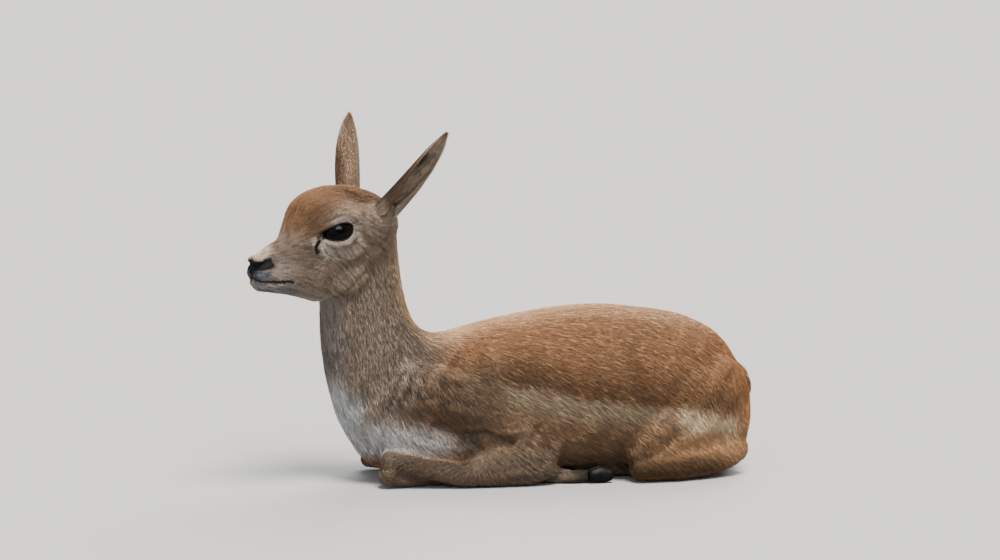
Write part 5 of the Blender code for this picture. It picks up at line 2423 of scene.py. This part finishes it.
@dataclass(frozen=True)
class Eyes:
    """The eyeballs, the dark edges of their lids and the lashes."""

    head: HeadFrame
    lids: Lids
    rings: int = 48
    sides: int = 72
    inset: float = 0.15
    cornea_stands: float = 0.55
    cornea_reach: float = 12.5
    pupil: tuple = (8.5, 4.2)
    iris: float = 15.0
    edge_radius: float = 0.65
    edge_stands: float = 0.75
    edge_sides: int = 8
    lashes: int = 34
    lash_length: float = 5.2
    lash_root: float = 0.24
    lash_span: tuple = (0.22, 0.97)
    lash_varies: tuple = (0.75, 1.1)
    lash_back: tuple = (0.55, 0.3, 0.12)
    lash_down: float = -0.1
    lash_out: tuple = (0.75, 0.08)
    lash_lift: float = 0.45
    lash_taper: float = 0.85
    lash_rings: int = 4
    lash_corners: tuple = (0.0, 2.1, 4.2)
    pole_gap: float = 0.012
    cornea_full: float = 6.0
    iris_edge: tuple = (1.2, 0.6)
    pupil_edge: tuple = (1.08, 0.92)
    edge_reach: float = 0.97

    def build(self, side: Side, wet: Material, edge: Material) -> None:
        """Builds one eye.

        Args:
            side: The eye's side.
            wet: The eyeball's finish.
            edge: The finish of the lids' edge and the lashes.
        """
        axes = self.lids.axes(self.head, side)
        centre = self.head.place(HeadFrame.EYE_PLACE, side)
        eyeball = shown(f"{side.label}_eyeball", self._ball(side, centre, axes), wet)
        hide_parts(f"{side.label}_eye")
        rim, lashes = self._edge(side, centre, axes)
        shown(f"{side.label}_lid_edge", rim, edge)
        shown(f"{side.label}_lashes", lashes, edge)

    def _ball(self, side: Side, centre: Array, axes: Array) -> Mesh:
        """The eyeball's mesh.

        Args:
            side: The eye's side.
            centre: Its middle.
            axes: Its own directions.

        Returns:
            The mesh, with its colours.
        """
        polar = np.linspace(self.pole_gap, math.pi - self.pole_gap, self.rings)[:, None]
        turn = np.linspace(0, math.tau, self.sides, endpoint=False)[None]
        radius = self.lids.radius - self.inset
        off = radius * np.sin(polar)
        stands = self.cornea_stands * step_between(self.cornea_reach, self.cornea_full, off)
        stands = stands * (polar < math.pi / 2)
        rise = (radius * np.cos(polar) + stands) * np.ones_like(turn)
        local = np.stack([off * np.cos(turn), off * np.sin(turn), rise], axis=2).reshape(-1, 3)
        triangles = tube_triangles(self.rings, self.sides)
        if np.linalg.det(axes) < 0:
            triangles = triangles[:, ::-1]
        mesh = mesh_of(f"{side.label}_eyeball", centre + local @ axes, triangles)
        front = local[:, 2] > 0
        pupil = np.hypot(local[:, 0] / self.pupil[0], local[:, 1] / self.pupil[1])
        iris = np.hypot(local[:, 0], local[:, 1])
        tint = np.tile(np.array(EYE_WHITE), (len(local), 1))
        outer, inner = self.iris_edge
        within = (front * step_between(self.iris + outer, self.iris - inner, iris))[:, None]
        tint += (np.array(EYE_IRIS) - tint) * within
        within = (front * step_between(*self.pupil_edge, pupil))[:, None]
        tint += (np.array(EYE_PUPIL) - tint) * within
        coloured(mesh, tint)
        return mesh

    def _edge(self, side: Side, centre: Array, axes: Array) -> tuple:
        """The dark edge of the lids and the lashes on the upper one.

        Args:
            side: The eye's side.
            centre: The eye's middle.
            axes: The eye's own directions.

        Returns:
            Two meshes.
        """
        flat = self.lids.edge()
        radius = self.lids.radius + self.edge_stands
        away = np.minimum((flat**2).sum(axis=1), (self.edge_reach * radius) ** 2)
        line = np.column_stack([flat, np.sqrt(radius**2 - away)])
        ahead = unit(np.roll(line, -1, axis=0) - np.roll(line, 1, axis=0))
        out = unit(line)
        sideways = np.cross(ahead, out)
        local = ringed(line, out, sideways, self.edge_radius, self.edge_sides)
        count, sides = len(line), self.edge_sides
        faces = []
        for ring in range(count):
            base, following = ring * sides, (ring + 1) % count * sides
            for i in range(sides):
                j = (i + 1) % sides
                faces += [(base + i, following + j, base + j), (base + i, following + i, following + j)]
        rim = np.array(faces)
        upper = line[: self.lids.samples]
        lashes, lash_faces = self._lashes(upper)
        if np.linalg.det(axes) < 0:
            rim, lash_faces = rim[:, ::-1], lash_faces[:, ::-1]
        return (
            mesh_of(f"{side.label}_lid_edge", centre + local @ axes, rim),
            mesh_of(f"{side.label}_lashes", centre + lashes @ axes, lash_faces),
        )

    def _lashes(self, upper: Array) -> tuple:
        """Short curved lashes, longest over the middle and back of the eye.

        Args:
            upper: Places along the upper lid's edge, in the eye's own directions.

        Returns:
            Places and triangles.
        """
        chance = np.random.default_rng(SEED + 1)
        points, faces = [], []
        lift = np.array([0.0, 1.0, 0.0])
        lean, leans_more, lean_varies = self.lash_back
        out, out_varies = self.lash_out
        for part in np.linspace(*self.lash_span, self.lashes):
            spot = upper[min(len(upper) - 1, int(part * len(upper)))]
            length = self.lash_length * math.sin(math.pi * part) ** 0.5 * chance.uniform(*self.lash_varies)
            back = lean + leans_more * part + chance.normal() * lean_varies
            way = unit(np.array([back, self.lash_down, out + chance.normal() * out_varies]))
            base = len(points)
            for share in np.linspace(0, 1, self.lash_rings):
                middle = spot + way * length * share + lift * length * self.lash_lift * share**2
                thick = self.lash_root * (1 - self.lash_taper * share)
                for turn in self.lash_corners:
                    points.append(middle + thick * np.array([math.cos(turn), math.sin(turn), 0]))
            faces += (tube_triangles(self.lash_rings, len(self.lash_corners)) + base).tolist()
        return np.array(points), np.array(faces)


@dataclass(frozen=True)
class DarkLine:
    """A dark line in the skin of the face: its course, and its radius at either end."""

    course: tuple
    first: float
    last: float


DARK_LINES = {
    "mouth": DarkLine(
        ((-2.5, 0, 0), (1, 6, 0), (5, 11, 0), (10, 15, 0), (20, 19, -1), (32, 21, -1.5), (42, 23, -2)),
        0.95, 0.4,
    ),
    "tear_slit": DarkLine(((67, 30, 46), (63.5, 29, 41), (62.5, 29, 36), (65, 29, 30)), 0.8, 1.45),
}


@dataclass
class DarkLines:
    """The crease of the mouth and the tear slits: thin dark lines that stand a little out of the skin."""

    skin: Surface
    head: HeadFrame
    sides: int = 8
    sunk: float = -0.15
    rounds: int = 44

    def __post_init__(self) -> None:
        """Prepares the search for the skin's nearest place."""
        self.tree = BVHTree.FromPolygons(self.skin.points.tolist(), self.skin.triangles.tolist())

    def build(self, side: Side, finish: Material) -> None:
        """Lays one side's lines.

        Args:
            side: The side.
            finish: Their finish.
        """
        for name, dark in DARK_LINES.items():
            wanted = [self.head.place(tuple(spot), side) for spot in spaced(dark.course)]
            found = [self.tree.find_nearest(spot) for spot in wanted]
            line, out = (np.array([np.array(hit[part]) for hit in found]) for part in range(2))
            for _ in range(self.rounds):
                for rows in (line, out):
                    rows[1:-1] = (rows[:-2] + 2 * rows[1:-1] + rows[2:]) / 4
            out = unit(out)
            ahead = unit(np.gradient(line, axis=0))
            aside = unit(np.cross(ahead, out))
            radius = np.linspace(dark.first, dark.last, len(line))[:, None]
            points = ringed(line - out * radius * self.sunk, out, aside, radius, self.sides)
            triangles = tube_triangles(len(line), self.sides)
            if np.cross(out[0], aside[0]) @ ahead[0] < 0:
                triangles = triangles[:, ::-1]
            shown(f"{side.label}_{name}", mesh_of(f"{side.label}_{name}", points, triangles), finish)


@dataclass(frozen=True)
class Hooves:
    """The cloven hooves, rounded and ringed."""

    nodes: dict
    voxel: float = 0.6
    smoothing: int = 60
    softness: float = 0.5
    ring_every: float = 2.4
    ring_depth: float = 0.04
    floor_gap: float = 0.05

    def build(self, name: str, finish: Material) -> None:
        """Builds one hoof from a copy of its solid.

        Args:
            name: The hoof's node.
            finish: The horn's finish.
        """
        rough = linked("rough_hoof", welded(self.nodes[name]))
        fuse(rough, self.voxel)
        smooth = rough.modifiers.new("round", "SMOOTH")
        smooth.factor = self.softness
        smooth.iterations = self.smoothing
        made = evaluated(rough)
        points, triangles = places_of(made), triangles_of(made)
        bpy.data.meshes.remove(made)
        rings = np.sin(points[:, 0] * math.tau / self.ring_every)
        points = points + normals_of(points, triangles) * (self.ring_depth * rings)[:, None]
        points[:, 2] = np.maximum(points[:, 2], self.floor_gap)
        piece = shown(f"{name}_horn", mesh_of(f"{name}_horn", points, triangles), finish)
        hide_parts(name)


@dataclass(frozen=True)
class Lamp:
    """A distant soft light: the turn and height that it comes from, its width, strength and colour."""

    turn: float
    height: float
    width: float
    strength: float
    colour: tuple
    glint: bool = False

    def light(self, name: str) -> None:
        """Puts the light into the scene.

        Args:
            name: The light's name.
        """
        data = bpy.data.lights.new(name, "SUN")
        data.angle = math.radians(self.width)
        data.energy = self.strength
        data.color = self.colour
        lamp = linked(name, data)
        lamp.rotation_mode = "QUATERNION"
        lamp.rotation_quaternion = toward(self.turn, self.height).to_track_quat("Z", "Y")
        lamp.visible_diffuse = not self.glint


def toward(turn: float, height: float) -> Vector:
    """A direction from the animal, as the camera's and the lights' places are given."""
    around, rise = math.radians(turn), math.radians(height)
    return Vector((math.sin(around) * math.cos(rise), -math.cos(around) * math.cos(rise), math.sin(rise)))


LAMPS = {
    "overhead": Lamp(15.0, 70.0, 26.0, 5.3, (1.0, 0.965, 0.915)),
    "front": Lamp(-38.0, 24.0, 60.0, 0.55, (0.95, 0.97, 1.0)),
    "behind": Lamp(150.0, 42.0, 45.0, 2.8, (1.0, 0.98, 0.95)),
    "glint_left": Lamp(3.0, 39.0, 24.0, 1.9, (0.80, 0.88, 1.0), True),
    "glint_right": Lamp(27.0, 39.0, 24.0, 1.9, (0.80, 0.88, 1.0), True),
}


@dataclass(frozen=True)
class Studio:
    """The camera of the photograph, a pale floor and soft light."""

    azimuth: float = -12.0
    elevation: float = 9.0
    target: tuple = (-0.0386, 0.0, 0.213)
    distance: float = 6.0
    lens: float = 200.0
    sensor: float = 36.0
    floor_size: float = 600.0
    floor_drop: float = 0.0004
    floor_squares: int = 8
    sky: tuple = (0.88, 0.93, 1.0, 1.0)
    sky_strength: float = 0.40

    def build(self, finish: Material) -> None:
        """Builds the studio.

        Args:
            finish: The floor's finish.
        """
        self._camera()
        self._floor(finish)
        for name, lamp in LAMPS.items():
            lamp.light(name)
        world = bpy.data.worlds.new("studio")
        world.use_nodes = True
        sky = world.node_tree.nodes["Background"]
        sky.inputs["Color"].default_value = self.sky
        sky.inputs["Strength"].default_value = self.sky_strength
        bpy.context.scene.world = world

    def _camera(self) -> None:
        """Sets up the photograph's view."""
        back = toward(self.azimuth, self.elevation)
        data = bpy.data.cameras.new("photograph")
        data.lens = self.lens
        data.sensor_width = self.sensor
        data.clip_end = 2 * self.floor_size
        camera = linked("photograph", data)
        camera.location = Vector(self.target) + back * self.distance
        camera.rotation_mode = "QUATERNION"
        camera.rotation_quaternion = (-back).to_track_quat("-Z", "Y")
        bpy.context.scene.camera = camera

    def _floor(self, finish: Material) -> None:
        """Lays the floor.

        Args:
            finish: Its finish.
        """
        plane = bmesh.new()
        squares = self.floor_squares
        bmesh.ops.create_grid(plane, x_segments=squares, y_segments=squares, size=self.floor_size / 2)
        mesh = bpy.data.meshes.new("floor")
        plane.to_mesh(mesh)
        plane.free()
        mesh.materials.append(finish)
        floor = linked("floor", mesh)
        floor.location.z = -self.floor_drop


def show_skin(skin: Surface, finish: Material) -> None:
    """Puts the skin into the scene for all the nodes of flesh.

    Args:
        skin: The finished skin.
        finish: Its finish.
    """
    mesh = mesh_of("skin", skin.points, skin.triangles)
    coloured(mesh, skin.colour)
    bare = mesh.attributes.new(BARE, "FLOAT", "POINT")
    bare.data.foreach_set("value", skin.bare.astype(np.float32))
    piece = shown("skin", mesh, finish)
    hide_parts(*FLESH, *EARS)


def main() -> None:
    """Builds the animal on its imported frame, then the studio round it."""
    logging.basicConfig(level=logging.INFO, format="%(message)s")
    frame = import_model()
    head, lids = HeadFrame.from_eyes(), Lids()
    skin = Skin(frame["nodes"], head, lids).built()
    Groom(head).comb(skin)
    Markings(head, lids).paint(skin)
    show_skin(skin, SkinFinish().material())
    for piece in Coat(skin, head, lids).grow(HairFinish().material()):
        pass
    wet, edge = EyeFinish().material(), LidFinish().material()
    lines = DarkLines(skin, head)
    for side in Side:
        Eyes(head, lids).build(side, wet, edge)
        lines.build(side, edge)
    horn = HornFinish().material()
    for name in HOOVES:
        Hooves(frame["nodes"]).build(name, horn)
    Studio().build(FloorFinish().material())


if __name__ == "__main__":
    main()
